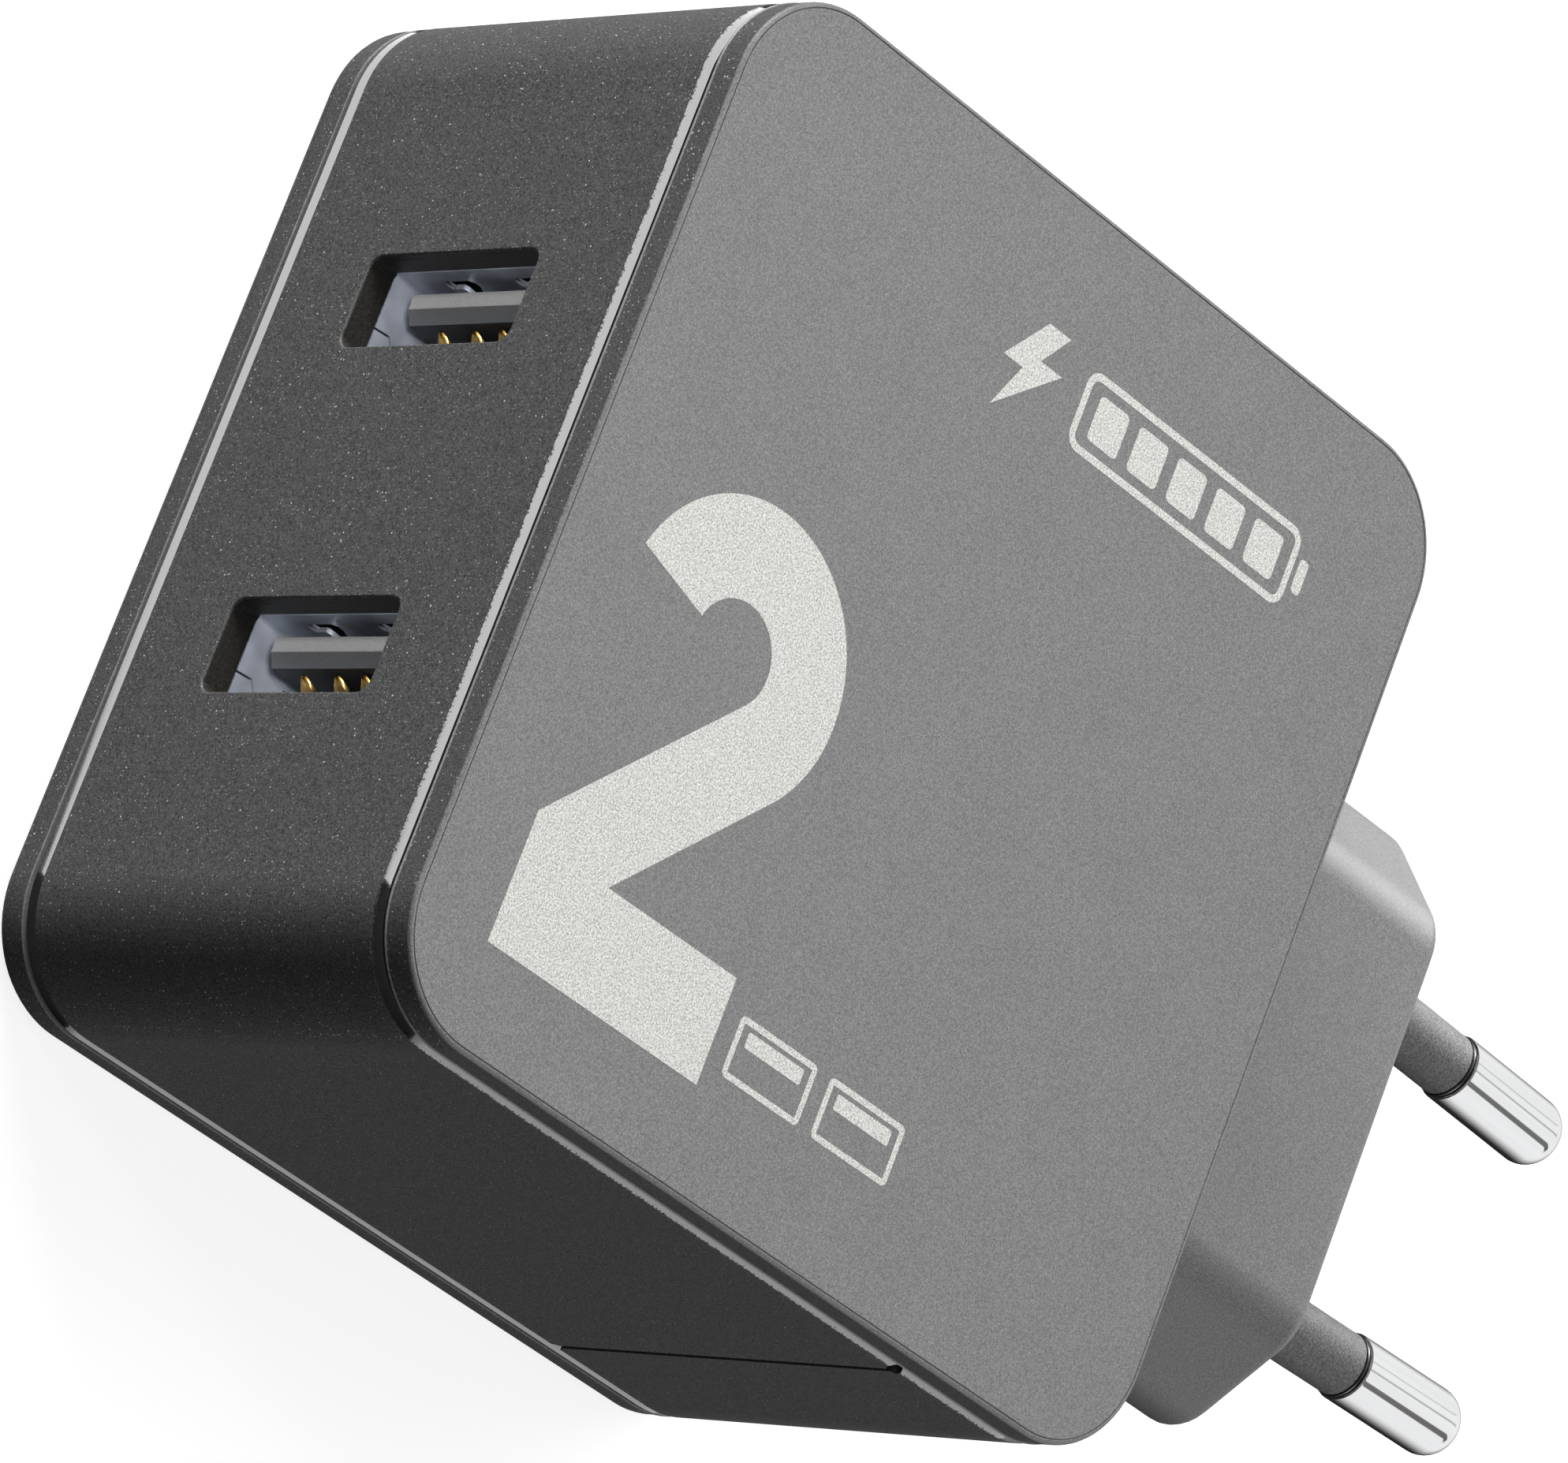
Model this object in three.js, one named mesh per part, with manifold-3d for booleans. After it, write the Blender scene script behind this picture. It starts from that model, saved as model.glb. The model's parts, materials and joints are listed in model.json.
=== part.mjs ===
// Two-port USB wall charger with a fixed two-pin Europlug. Sizes in millimetres.
// The origin is the middle of the plug's end face, between the pins. +Y points along the pins into
// the wall socket, +Z is the outward side of the large top cover, and X runs across both pins.
// Every piece is drawn in the case frame, where the port face is Y = 0 and the back cover is Z = 0,
// and the last line moves them all to the origin.
import * as THREE from "three";
import { mergeVertices } from "three/addons/utils/BufferGeometryUtils.js";
import Module from "manifold-3d";

const wasm = await Module();
wasm.setup();

// Case
const CASE_WIDTH = 57.0;
const CASE_LENGTH = 55.2;
const CASE_THICKNESS = 31.0;
const CORNER_RADIUS = 6.2;
const WALL = 1.8;
const PORT_WALL = 1.6;
const SEAM_FROM_BACK = 13.5;
const SEAM_GAP = 0.15;
const SEAM_NOTCH = 0.35;
const TOP_COVER_SIDE = 1.8;
const BACK_COVER_SIDE = 2.3;
const COVER_PLATE = 1.6;
const TOP_EDGE_ROUND = 0.45;
const BACK_EDGE_ROUND = 1.0;
const COVER_GAP = 0.3;
const COVER_GAP_DEPTH = 0.9;
const TRIM_STRIP = 0.65;
const TRIM_INSET = 0.2;
const LIP_THICKNESS = 1.1;
const LIP_DEPTH = 1.6;
const SEAM_TONGUE_REACH = 2.5;
const SEAM_TONGUE_THICKNESS = 0.9;

// Clearances
const FIT = 0.05;
const SLIDE = 0.15;

// Plug
const BOSS_WIDTH = 35.3;
const BOSS_HEIGHT = 13.7;
const BOSS_LENGTH = 18.7;
const BOSS_CREASE_ROUND = 4.0;
const BOSS_TIP_ROUND = 2.0;
const BOSS_RIM_ROUND = 0.9;
const BOSS_WALL = 1.8;
const BOSS_END_PLATE = 3.0;
const BOSS_FLANGE = 1.6;
const BOSS_FLANGE_THICKNESS = 1.5;
const PIN_DIAMETER = 4.0;
const PIN_LENGTH = 19.0;
const PIN_CORE_DIAMETER = 3.0;
const PIN_END_ROUND = 1.5;
const PIN_SPACING_BASE = 18.6;
const PIN_SPACING_TIP = 17.5;
const PIN_TAIL = 4.5;
const SLEEVE_DIAMETER = 3.7;
const SLEEVE_LENGTH = 10.0;
const PIN_FACETS = 20;

// USB ports
const PORT_SPACING = 19.4;
const PORT_LONG = 12.5;
const PORT_SHORT = 5.2;
const PORT_CORNER = 0.8;
const STEEL = 0.3;
const STEEL_LENGTH = 13.6;
const SHELL_SHORT_INSIDE = 5.12;
const SPRING_WINDOW_LONG = 6.0;
const SPRING_WINDOW_WIDE = 1.6;
const SPRING_WINDOW_PITCH = 5.6;
const TONGUE_WIDE = 11.1;
const TONGUE_THICK = 1.84;
const TONGUE_SETBACK = 0.9;
const TONGUE_WALL_GAP = 0.75;
const TONGUE_CHAMFER = 0.45;
const TONGUE_CHAMFER_LONG = 0.9;
const INSULATOR_DEPTH = 4.6;
const CONTACT_WIDE = 1.0;
const CONTACT_THICK = 0.22;
const CONTACT_BULGE = 0.75;
const CONTACT_PLACES = [-3.5, -1.0, 1.0, 3.5];
const COLLAR_REACH = 3.0;
const COLLAR_THICK = 1.2;

// Boards
const BOARD_THICK = 1.6;
const MAIN_BOARD_UNDER = 6.0;
const MAIN_BOARD_SIDE_GAP = 2.7;
const MAIN_BOARD_END_GAP = 2.9;
const USB_BOARD_SIDE_GAP = 5.7;
const USB_BOARD_END_GAP = 1.5;
const POST_DIAMETER = 4.0;
const POST_INSET = 3.5;

// Heights and lengths that follow from the sizes above
const BAND_BOTTOM = BACK_COVER_SIDE + COVER_GAP + TRIM_STRIP;
const BAND_TOP = CASE_THICKNESS - TOP_COVER_SIDE - COVER_GAP - TRIM_STRIP;
const MID_Z = CASE_THICKNESS / 2;
const FACE_Y = CASE_LENGTH + BOSS_LENGTH;
const REAR_WALL_INNER = CASE_LENGTH - WALL;
const STEEL_FRONT = PORT_WALL + FIT;
const STEEL_BACK = STEEL_FRONT + STEEL_LENGTH;
const USB_BOARD_FRONT = STEEL_BACK + FIT;
const USB_BOARD_BACK = USB_BOARD_FRONT + BOARD_THICK;
const MAIN_BOARD_FRONT = USB_BOARD_BACK + FIT;
const MAIN_BOARD_TOP = MAIN_BOARD_UNDER + BOARD_THICK;
const MOUNTED = MAIN_BOARD_TOP + FIT;
const PORT_CENTRES = [-PORT_SPACING / 2, PORT_SPACING / 2];
const SEAM_Y = CASE_LENGTH - SEAM_FROM_BACK;
const MAIN_BOARD_WIDTH = CASE_WIDTH - 2 * (WALL + MAIN_BOARD_SIDE_GAP);
const MAIN_BOARD_END = REAR_WALL_INNER - MAIN_BOARD_END_GAP;
const MAIN_BOARD_LENGTH = MAIN_BOARD_END - MAIN_BOARD_FRONT;
const USB_BOARD_WIDTH = CASE_WIDTH - 2 * (WALL + USB_BOARD_SIDE_GAP);
const USB_BOARD_HEIGHT = BAND_TOP - BAND_BOTTOM - 2 * USB_BOARD_END_GAP;

// The parts on the main board are laid out for a board 48 by 33.5 with 21.5 of room above it.
// They spread with a larger board, and on a smaller one they shrink as well.
const LAYOUT = { wide: 48.0, long: 33.5, high: 21.5 };
const ROOM_ABOVE = CASE_THICKNESS - COVER_PLATE - MOUNTED;
const SPREAD_X = MAIN_BOARD_WIDTH / LAYOUT.wide;
const SPREAD_Y = MAIN_BOARD_LENGTH / LAYOUT.long;
const SHRINK = Math.min(1, SPREAD_X, SPREAD_Y, ROOM_ABOVE / LAYOUT.high);

// Solids

function toSolid(geometry) {
  const bare = geometry.index ? geometry.toNonIndexed() : geometry.clone();
  bare.deleteAttribute("normal");
  bare.deleteAttribute("uv");
  const merged = mergeVertices(bare, 1e-4);
  const vertProperties = new Float32Array(merged.attributes.position.array);
  const triVerts = new Uint32Array(merged.index.array);
  return new wasm.Manifold(new wasm.Mesh({ numProp: 3, vertProperties, triVerts }));
}

function toGeometry(solid) {
  const mesh = solid.getMesh();
  const geometry = new THREE.BufferGeometry();
  geometry.setAttribute("position", new THREE.BufferAttribute(new Float32Array(mesh.vertProperties), 3));
  geometry.setIndex(new THREE.BufferAttribute(new Uint32Array(mesh.triVerts), 1));
  return geometry;
}

function join(...solids) {
  return solids.reduce((all, one) => all.add(one));
}

function cut(solid, ...tools) {
  return tools.reduce((left, tool) => left.subtract(tool), solid);
}

// A box between two corners.
function block(x0, x1, y0, y1, z0, z1) {
  const geometry = new THREE.BoxGeometry(x1 - x0, y1 - y0, z1 - z0);
  geometry.translate((x0 + x1) / 2, (y0 + y1) / 2, (z0 + z1) / 2);
  return toSolid(geometry);
}

// A standing cylinder.
function post(x, y, z0, z1, diameter, facets) {
  const geometry = new THREE.CylinderGeometry(diameter / 2, diameter / 2, z1 - z0, facets);
  geometry.rotateX(Math.PI / 2);
  geometry.translate(x, y, (z0 + z1) / 2);
  return toSolid(geometry);
}

// A rounded rectangle about a centre.
function roundedRectangle(wide, high, radius, x = 0, y = 0) {
  const shape = new THREE.Shape();
  const across = wide / 2 - radius;
  const up = high / 2 - radius;
  shape.absarc(x + across, y + up, radius, 0, Math.PI / 2);
  shape.absarc(x - across, y + up, radius, Math.PI / 2, Math.PI);
  shape.absarc(x - across, y - up, radius, Math.PI, Math.PI * 1.5);
  shape.absarc(x + across, y - up, radius, Math.PI * 1.5, Math.PI * 2);
  return shape;
}

// The case outline, drawn in by some distance.
function caseOutline(inset) {
  const wide = CASE_WIDTH - 2 * inset;
  const long = CASE_LENGTH - 2 * inset;
  const radius = Math.max(CORNER_RADIUS - inset, 0.6);
  return roundedRectangle(wide, long, radius, 0, CASE_LENGTH / 2);
}

// A polygon whose corners are rounded by the distance given with each point.
function softPolygon(points) {
  const shape = new THREE.Shape();
  const place = (from, towards, distance) => {
    const span = Math.hypot(towards[0] - from[0], towards[1] - from[1]);
    const share = distance / span;
    return [from[0] + (towards[0] - from[0]) * share, from[1] + (towards[1] - from[1]) * share];
  };
  points.forEach((corner, i) => {
    const before = points[(i + points.length - 1) % points.length];
    const after = points[(i + 1) % points.length];
    const start = place(corner, before, corner[2]);
    const end = place(corner, after, corner[2]);
    if (i === 0) shape.moveTo(start[0], start[1]);
    else shape.lineTo(start[0], start[1]);
    if (corner[2] > 0) shape.quadraticCurveTo(corner[0], corner[1], end[0], end[1]);
  });
  return shape;
}

// A shape drawn in X and Y, made solid between two heights.
function rise(shape, z0, z1, arcSteps = 6) {
  const geometry = new THREE.ExtrudeGeometry(shape, {
    depth: z1 - z0,
    bevelEnabled: false,
    curveSegments: arcSteps,
  });
  geometry.translate(0, 0, z0);
  return toSolid(geometry);
}

// A shape drawn in X and Z, made solid between two places along Y.
function reach(shape, y0, y1, arcSteps = 4) {
  const geometry = new THREE.ExtrudeGeometry(shape, {
    depth: y1 - y0,
    bevelEnabled: false,
    curveSegments: arcSteps,
  });
  geometry.rotateX(Math.PI / 2);
  geometry.translate(0, y1, 0);
  return toSolid(geometry);
}

// A shape drawn in Y and Z, made solid between two places along X.
function across(shape, x0, x1, arcSteps = 4) {
  const geometry = new THREE.ExtrudeGeometry(shape, {
    depth: x1 - x0,
    bevelEnabled: false,
    curveSegments: arcSteps,
  });
  geometry.rotateX(Math.PI / 2);
  geometry.rotateZ(Math.PI / 2);
  geometry.translate(x0, 0, 0);
  return toSolid(geometry);
}

function polygon(points) {
  return new THREE.Shape(points.map(([x, y]) => new THREE.Vector2(x, y)));
}

// A solid turned about an axis along Z, from a profile of radius and height.
function turned(profile, facets) {
  const points = profile.map(([radius, height]) => new THREE.Vector2(radius, height));
  const geometry = new THREE.LatheGeometry(points, facets);
  geometry.rotateX(Math.PI / 2);
  return toSolid(geometry);
}

// Case pieces

// A ring that follows the case outline between two insets and two heights.
function outlineRing(outerInset, innerInset, z0, z1) {
  const shape = caseOutline(outerInset);
  shape.holes.push(caseOutline(innerInset));
  return rise(shape, z0, z1);
}

// One cover lying on Z = 0 with its outer face down: a plate with a rounded outer edge, a side as
// high as the case shows, a step that closes the groove, and a lip that goes inside the band.
function cover(side, edgeRound) {
  const bevelled = new THREE.ExtrudeGeometry(caseOutline(edgeRound), {
    depth: side,
    bevelEnabled: true,
    bevelThickness: edgeRound,
    bevelSize: edgeRound,
    bevelSegments: 3,
    curveSegments: 6,
  });
  bevelled.translate(0, 0, edgeRound);
  const above = block(-CASE_WIDTH, CASE_WIDTH, -CASE_LENGTH, 2 * CASE_LENGTH, side, 4 * side);
  const stepTop = side + COVER_GAP - FIT;
  const stepInner = WALL + SLIDE + LIP_THICKNESS;
  const lipTop = side + COVER_GAP + TRIM_STRIP + LIP_DEPTH;
  const hollow = rise(caseOutline(stepInner), COVER_PLATE, 2 * lipTop);
  const step = outlineRing(COVER_GAP_DEPTH, stepInner, side - FIT, stepTop);
  const lip = outlineRing(WALL + SLIDE, stepInner, side - FIT, lipTop);
  return join(cut(toSolid(bevelled), above, hollow), step, lip);
}

function boardPostPlaces() {
  const x = MAIN_BOARD_WIDTH / 2 - POST_INSET;
  const near = MAIN_BOARD_FRONT + POST_INSET;
  const far = MAIN_BOARD_END - POST_INSET;
  return [[-x, near], [x, near], [-x, far], [x, far]];
}

function backCover() {
  const posts = boardPostPlaces().map(([x, y]) =>
    post(x, y, COVER_PLATE / 2, MAIN_BOARD_UNDER - FIT, POST_DIAMETER, 12),
  );
  return join(cover(BACK_COVER_SIDE, BACK_EDGE_ROUND), ...posts);
}

// The same cover turned over, so its outer face is at the full thickness of the case.
function topCover() {
  const geometry = toGeometry(cover(TOP_COVER_SIDE, TOP_EDGE_ROUND));
  geometry.rotateY(Math.PI);
  geometry.translate(0, 0, CASE_THICKNESS);
  return toSolid(geometry);
}

function trim(z0) {
  return outlineRing(TRIM_INSET, WALL, z0, z0 + TRIM_STRIP - FIT);
}

// The band is one tube cut across at the seam, with a small V notch where the seam meets each rim.
function band() {
  const tube = outlineRing(0, WALL, BAND_BOTTOM, BAND_TOP);
  const frontPocket = block(-CASE_WIDTH / 4, CASE_WIDTH / 4, PORT_WALL, WALL + 1, BAND_BOTTOM, BAND_TOP);
  const gap = block(
    -CASE_WIDTH, CASE_WIDTH, SEAM_Y - SEAM_GAP / 2, SEAM_Y + SEAM_GAP / 2, 0, CASE_THICKNESS,
  );
  const notch = (z) =>
    across(
      polygon([
        [SEAM_Y - SEAM_NOTCH, z],
        [SEAM_Y, z - SEAM_NOTCH],
        [SEAM_Y + SEAM_NOTCH, z],
        [SEAM_Y, z + SEAM_NOTCH],
      ]),
      -CASE_WIDTH,
      CASE_WIDTH,
    );
  return cut(tube, frontPocket, gap, notch(BAND_BOTTOM), notch(BAND_TOP));
}

function portHole(x, grow, y0, y1) {
  const shape = roundedRectangle(PORT_SHORT + 2 * grow, PORT_LONG + 2 * grow, PORT_CORNER, x, MID_Z);
  return reach(shape, y0, y1);
}

// The steel shell's outline on the port face, larger all round by the distance given.
function shellOutline(x, grow) {
  const wide = SHELL_SHORT_INSIDE + 2 * STEEL + 2 * grow;
  const high = PORT_LONG + 2 * STEEL + 2 * grow;
  return roundedRectangle(wide, high, 0.5 + Math.max(grow, 0), x, MID_Z);
}

function frontShell() {
  const behind = block(-CASE_WIDTH, CASE_WIDTH, SEAM_Y, 2 * CASE_LENGTH, 0, CASE_THICKNESS);
  const collars = PORT_CENTRES.map((x) =>
    reach(shellOutline(x, SLIDE + COLLAR_THICK), PORT_WALL / 2, PORT_WALL + COLLAR_REACH),
  );
  const seats = PORT_CENTRES.map((x) =>
    reach(shellOutline(x, SLIDE), PORT_WALL, PORT_WALL + 2 * COLLAR_REACH),
  );
  const holes = PORT_CENTRES.map((x) => portHole(x, 0, -1, PORT_WALL + 2 * COLLAR_REACH));
  return cut(join(cut(band(), behind), ...collars), ...seats, ...holes);
}

// The plug's six-sided outline, with rounded creases and tips, larger all round by the distance given.
function bossOutline(grow) {
  const top = BOSS_HEIGHT / 2 + grow;
  const tipRound = Math.max(BOSS_TIP_ROUND + grow, 0.3);
  const creaseRound = Math.max(BOSS_CREASE_ROUND + grow, 0.6) * Math.tan(Math.PI / 8);
  const tip = BOSS_WIDTH / 2 + (BOSS_TIP_ROUND * Math.SQRT1_2) / 2 + grow * Math.SQRT2;
  const crease = tip - top;
  const points = [
    [crease, top, creaseRound],
    [-crease, top, creaseRound],
    [-tip, 0, tipRound],
    [-crease, -top, creaseRound],
    [crease, -top, creaseRound],
    [tip, 0, tipRound],
  ];
  return softPolygon(points.map(([x, z, round]) => [x, MID_Z + z, round]));
}

function rearShell() {
  const ahead = block(-CASE_WIDTH, CASE_WIDTH, -CASE_LENGTH, SEAM_Y, 0, CASE_THICKNESS);
  const opening = reach(bossOutline(FIT), REAR_WALL_INNER - 1, CASE_LENGTH + 1);
  const sideTongue = (side) => {
    const outer = side * (CASE_WIDTH / 2 - WALL - FIT);
    const inner = side * (CASE_WIDTH / 2 - WALL - SEAM_TONGUE_THICKNESS);
    const root = side * (CASE_WIDTH / 2 - WALL / 2);
    const z0 = BAND_BOTTOM + LIP_DEPTH + 1;
    const z1 = BAND_TOP - LIP_DEPTH - 1;
    const front = SEAM_Y - SEAM_TONGUE_REACH;
    const back = SEAM_Y + SEAM_TONGUE_REACH;
    const blade = block(Math.min(outer, inner), Math.max(outer, inner), front, back, z0, z1);
    const foot = block(Math.min(root, inner), Math.max(root, inner), SEAM_Y + SEAM_GAP, back, z0, z1);
    return join(blade, foot);
  };
  return join(cut(band(), ahead, opening), sideTongue(-1), sideTongue(1));
}

// Plug pieces

// Turns a solid drawn standing on Z = 0 into one pin's place: its foot on the end face, leaning in.
function toPinPlace(solid, side) {
  const geometry = toGeometry(solid);
  const lean = Math.atan((PIN_SPACING_BASE - PIN_SPACING_TIP) / 2 / PIN_LENGTH);
  geometry.rotateX(-Math.PI / 2);
  geometry.rotateZ(side * lean);
  geometry.translate((side * PIN_SPACING_BASE) / 2, FACE_Y, MID_Z);
  return toSolid(geometry);
}

function plugBoss() {
  const start = REAR_WALL_INNER - FIT;
  const rim = new THREE.ExtrudeGeometry(bossOutline(-BOSS_RIM_ROUND), {
    depth: FACE_Y - start,
    bevelEnabled: true,
    bevelThickness: BOSS_RIM_ROUND,
    bevelSize: BOSS_RIM_ROUND,
    bevelSegments: 3,
    curveSegments: 5,
  });
  rim.rotateX(Math.PI / 2);
  rim.translate(0, FACE_Y - BOSS_RIM_ROUND, 0);
  const inside = block(-CASE_WIDTH, CASE_WIDTH, 0, start, 0, CASE_THICKNESS);
  const flange = reach(bossOutline(BOSS_FLANGE), start - BOSS_FLANGE_THICKNESS, start, 3);
  const floor = FACE_Y - BOSS_END_PLATE;
  const hollow = reach(bossOutline(-BOSS_WALL), start - 2 * BOSS_FLANGE_THICKNESS, floor, 3);
  const bores = [-1, 1].map((side) => {
    const length = SLEEVE_LENGTH + 2 * BOSS_END_PLATE;
    const drill = new THREE.CylinderGeometry(
      SLEEVE_DIAMETER / 2 + FIT, SLEEVE_DIAMETER / 2 + FIT, length, PIN_FACETS,
    );
    drill.rotateX(Math.PI / 2);
    return toPinPlace(toSolid(drill), side);
  });
  return cut(join(cut(toSolid(rim), inside), flange), hollow, ...bores);
}

// A metal pin: a thin core through the end plate and sleeve, then the full diameter to a round end.
function pin(side) {
  const core = PIN_CORE_DIAMETER / 2;
  const full = PIN_DIAMETER / 2;
  const shoulder = SLEEVE_LENGTH + FIT;
  const profile = [
    [0, -BOSS_END_PLATE - PIN_TAIL],
    [core, -BOSS_END_PLATE - PIN_TAIL],
    [core, shoulder],
    [full - 0.1, shoulder],
    [full, shoulder + 0.15],
  ];
  const steps = 4;
  for (let i = 0; i <= steps; i++) {
    const angle = (Math.PI / 2) * (i / steps);
    const radius = full - PIN_END_ROUND + PIN_END_ROUND * Math.cos(angle);
    profile.push([radius, PIN_LENGTH - PIN_END_ROUND + PIN_END_ROUND * Math.sin(angle)]);
  }
  profile.push([0, PIN_LENGTH]);
  return toPinPlace(turned(profile, PIN_FACETS), side);
}

function sleeve(side) {
  const inner = PIN_CORE_DIAMETER / 2 + FIT;
  const outer = SLEEVE_DIAMETER / 2;
  const foot = -BOSS_END_PLATE + FIT;
  const profile = [
    [inner, foot],
    [outer, foot],
    [outer, SLEEVE_LENGTH - 0.2],
    [outer - 0.15, SLEEVE_LENGTH],
    [inner, SLEEVE_LENGTH],
    [inner, foot],
  ];
  return toPinPlace(turned(profile, PIN_FACETS), side);
}

// A brass strip: an eye round the pin's tail, then a leg that steps down to the main board.
function mainsContact(side) {
  const sheet = 0.6;
  const x = (side * PIN_SPACING_BASE) / 2;
  const eyeBack = FACE_Y - BOSS_END_PLATE - 1.0;
  const eyeFront = eyeBack - sheet;
  const legTop = MID_Z - 2.8;
  const foot = MAIN_BOARD_END - 3.0;
  const eye = block(x - 2.6, x + 2.6, eyeFront, eyeBack, legTop - sheet, MID_Z + 2.8);
  const leg = across(
    polygon([
      [foot, MOUNTED],
      [foot + sheet, MOUNTED],
      [foot + sheet, legTop - sheet],
      [eyeBack, legTop - sheet],
      [eyeBack, legTop],
      [foot, legTop],
    ]),
    x - 1.5,
    x + 1.5,
  );
  const bore = new THREE.CylinderGeometry(
    PIN_CORE_DIAMETER / 2 + SLIDE, PIN_CORE_DIAMETER / 2 + SLIDE, 4 * PIN_TAIL, 16,
  );
  bore.rotateX(Math.PI / 2);
  bore.translate(0, 0, -BOSS_END_PLATE - PIN_TAIL);
  return cut(join(eye, leg), toPinPlace(toSolid(bore), side));
}

// USB port pieces. Each is drawn for a port whose middle is at x.

function tongueFaces(x) {
  const near = x - SHELL_SHORT_INSIDE / 2 + TONGUE_WALL_GAP;
  return { near, far: near + TONGUE_THICK };
}

function usbShell(x) {
  const tube = shellOutline(x, 0);
  tube.holes.push(roundedRectangle(SHELL_SHORT_INSIDE, PORT_LONG, 0.3, x, MID_Z));
  const body = reach(tube, STEEL_FRONT, STEEL_BACK - FIT);
  const windows = [-1, 1].map((side) => {
    const middle = MID_Z + (side * SPRING_WINDOW_PITCH) / 2;
    const y0 = STEEL_FRONT + 2.2;
    return block(
      x - SHELL_SHORT_INSIDE,
      x + SHELL_SHORT_INSIDE,
      y0,
      y0 + SPRING_WINDOW_LONG,
      middle - SPRING_WINDOW_WIDE / 2,
      middle + SPRING_WINDOW_WIDE / 2,
    );
  });
  return cut(body, ...windows);
}

// The insulator: a block that closes the back of the steel shell, and the tongue in front of it.
function usbTongue(x) {
  const { near, far } = tongueFaces(x);
  const front = STEEL_FRONT + TONGUE_SETBACK;
  const root = STEEL_BACK - INSULATOR_DEPTH;
  const middle = (near + far) / 2;
  const nose = TONGUE_THICK / 2 - TONGUE_CHAMFER;
  const shape = polygon([
    [middle - nose, front],
    [middle + nose, front],
    [far, front + TONGUE_CHAMFER_LONG],
    [far, root + 0.5],
    [near, root + 0.5],
    [near, front + TONGUE_CHAMFER_LONG],
  ]);
  const blade = rise(shape, MID_Z - TONGUE_WIDE / 2, MID_Z + TONGUE_WIDE / 2);
  const plug = roundedRectangle(SHELL_SHORT_INSIDE - 2 * FIT, PORT_LONG - 2 * FIT, 0.3, x, MID_Z);
  return join(blade, reach(plug, root, USB_BOARD_FRONT - FIT, 2));
}

// A contact spring: a strip along the tongue that bulges away from it near the mouth.
function usbContact(x, place) {
  const face = tongueFaces(x).far + FIT;
  const start = STEEL_FRONT + TONGUE_SETBACK + TONGUE_CHAMFER_LONG + 0.3;
  const root = STEEL_BACK - INSULATOR_DEPTH - FIT;
  const crown = start + 2.4;
  const shape = polygon([
    [face, start],
    [face + CONTACT_THICK, start],
    [face + CONTACT_BULGE + CONTACT_THICK, crown],
    [face + CONTACT_THICK, crown + 3.2],
    [face + CONTACT_THICK, root],
    [face, root],
    [face, crown + 3.2],
    [face + CONTACT_BULGE, crown],
  ]);
  const z = MID_Z + place;
  return rise(shape, z - CONTACT_WIDE / 2, z + CONTACT_WIDE / 2);
}

// Boards and what stands on them

function mainBoard() {
  const wide = MAIN_BOARD_WIDTH;
  const long = MAIN_BOARD_LENGTH;
  const shape = roundedRectangle(wide, long, 1.5, 0, MAIN_BOARD_FRONT + long / 2);
  return rise(shape, MAIN_BOARD_UNDER, MAIN_BOARD_TOP, 3);
}

function usbBoard() {
  const shape = roundedRectangle(USB_BOARD_WIDTH, USB_BOARD_HEIGHT, 1.0, 0, MID_Z);
  return reach(shape, USB_BOARD_FRONT, USB_BOARD_BACK, 3);
}

// A place on the board from layout coordinates: x from its middle line, y from its front edge.
function onBoard(x, y) {
  return [x * SPREAD_X, MAIN_BOARD_FRONT + y * SPREAD_Y];
}

// A turned part standing at a place on the board, from a profile in layout sizes.
function standing(profile, x, y, facets) {
  const shrunk = profile.map(([radius, height]) => [radius * SHRINK, height * SHRINK]);
  const [px, py] = onBoard(x, y);
  return turned(shrunk, facets).translate([px, py, MOUNTED]);
}

// A radial capacitor can with a rounded top and a pressed ring near its foot.
function canCapacitor(x, y, diameter, height) {
  const radius = diameter / 2;
  const profile = [
    [0, 0],
    [radius - 0.3, 0],
    [radius, 0.5],
    [radius, 1.4],
    [radius - 0.4, 1.8],
    [radius, 2.2],
    [radius, height - 0.6],
    [radius - 0.6, height],
    [0, height],
  ];
  return standing(profile, x, y, 20);
}

const [TRANSFORMER_X, TRANSFORMER_Y] = onBoard(-1.5, 14.0);
const TRANSFORMER = {
  x: TRANSFORMER_X,
  y: TRANSFORMER_Y,
  wide: 20.0 * SHRINK,
  deep: 12.0 * SHRINK,
  high: 17.5 * SHRINK,
  core: 5.0 * SHRINK,
  wall: 4.0 * SHRINK,
  overhang: 2.0 * SHRINK,
  plate: 0.8 * SHRINK,
  foot: MOUNTED + 1.0 * SHRINK,
};

// Two facing E cores: each has a back plate and three legs that meet the other at the middle.
function transformerCore(side) {
  const t = TRANSFORMER;
  const half = t.high / 2;
  const seam = t.foot + half;
  const z0 = side < 0 ? seam - half : seam + FIT / 2;
  const z1 = side < 0 ? seam - FIT / 2 : seam + half;
  const halfDepth = t.deep / 2 - t.overhang;
  const body = block(t.x - t.wide / 2, t.x + t.wide / 2, t.y - halfDepth, t.y + halfDepth, z0, z1);
  const windows = [-1, 1].map((way) => {
    const inner = t.x + (way * t.core) / 2;
    const outer = t.x + way * (t.wide / 2 - t.wall / 2);
    const x0 = Math.min(inner, outer);
    const x1 = Math.max(inner, outer);
    const from = side < 0 ? z0 + t.wall / 2 : z0 - 1;
    const to = side < 0 ? z1 + 1 : z1 - t.wall / 2;
    return block(x0, x1, t.y - t.deep, t.y + t.deep, from, to);
  });
  return cut(body, ...windows);
}

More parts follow.
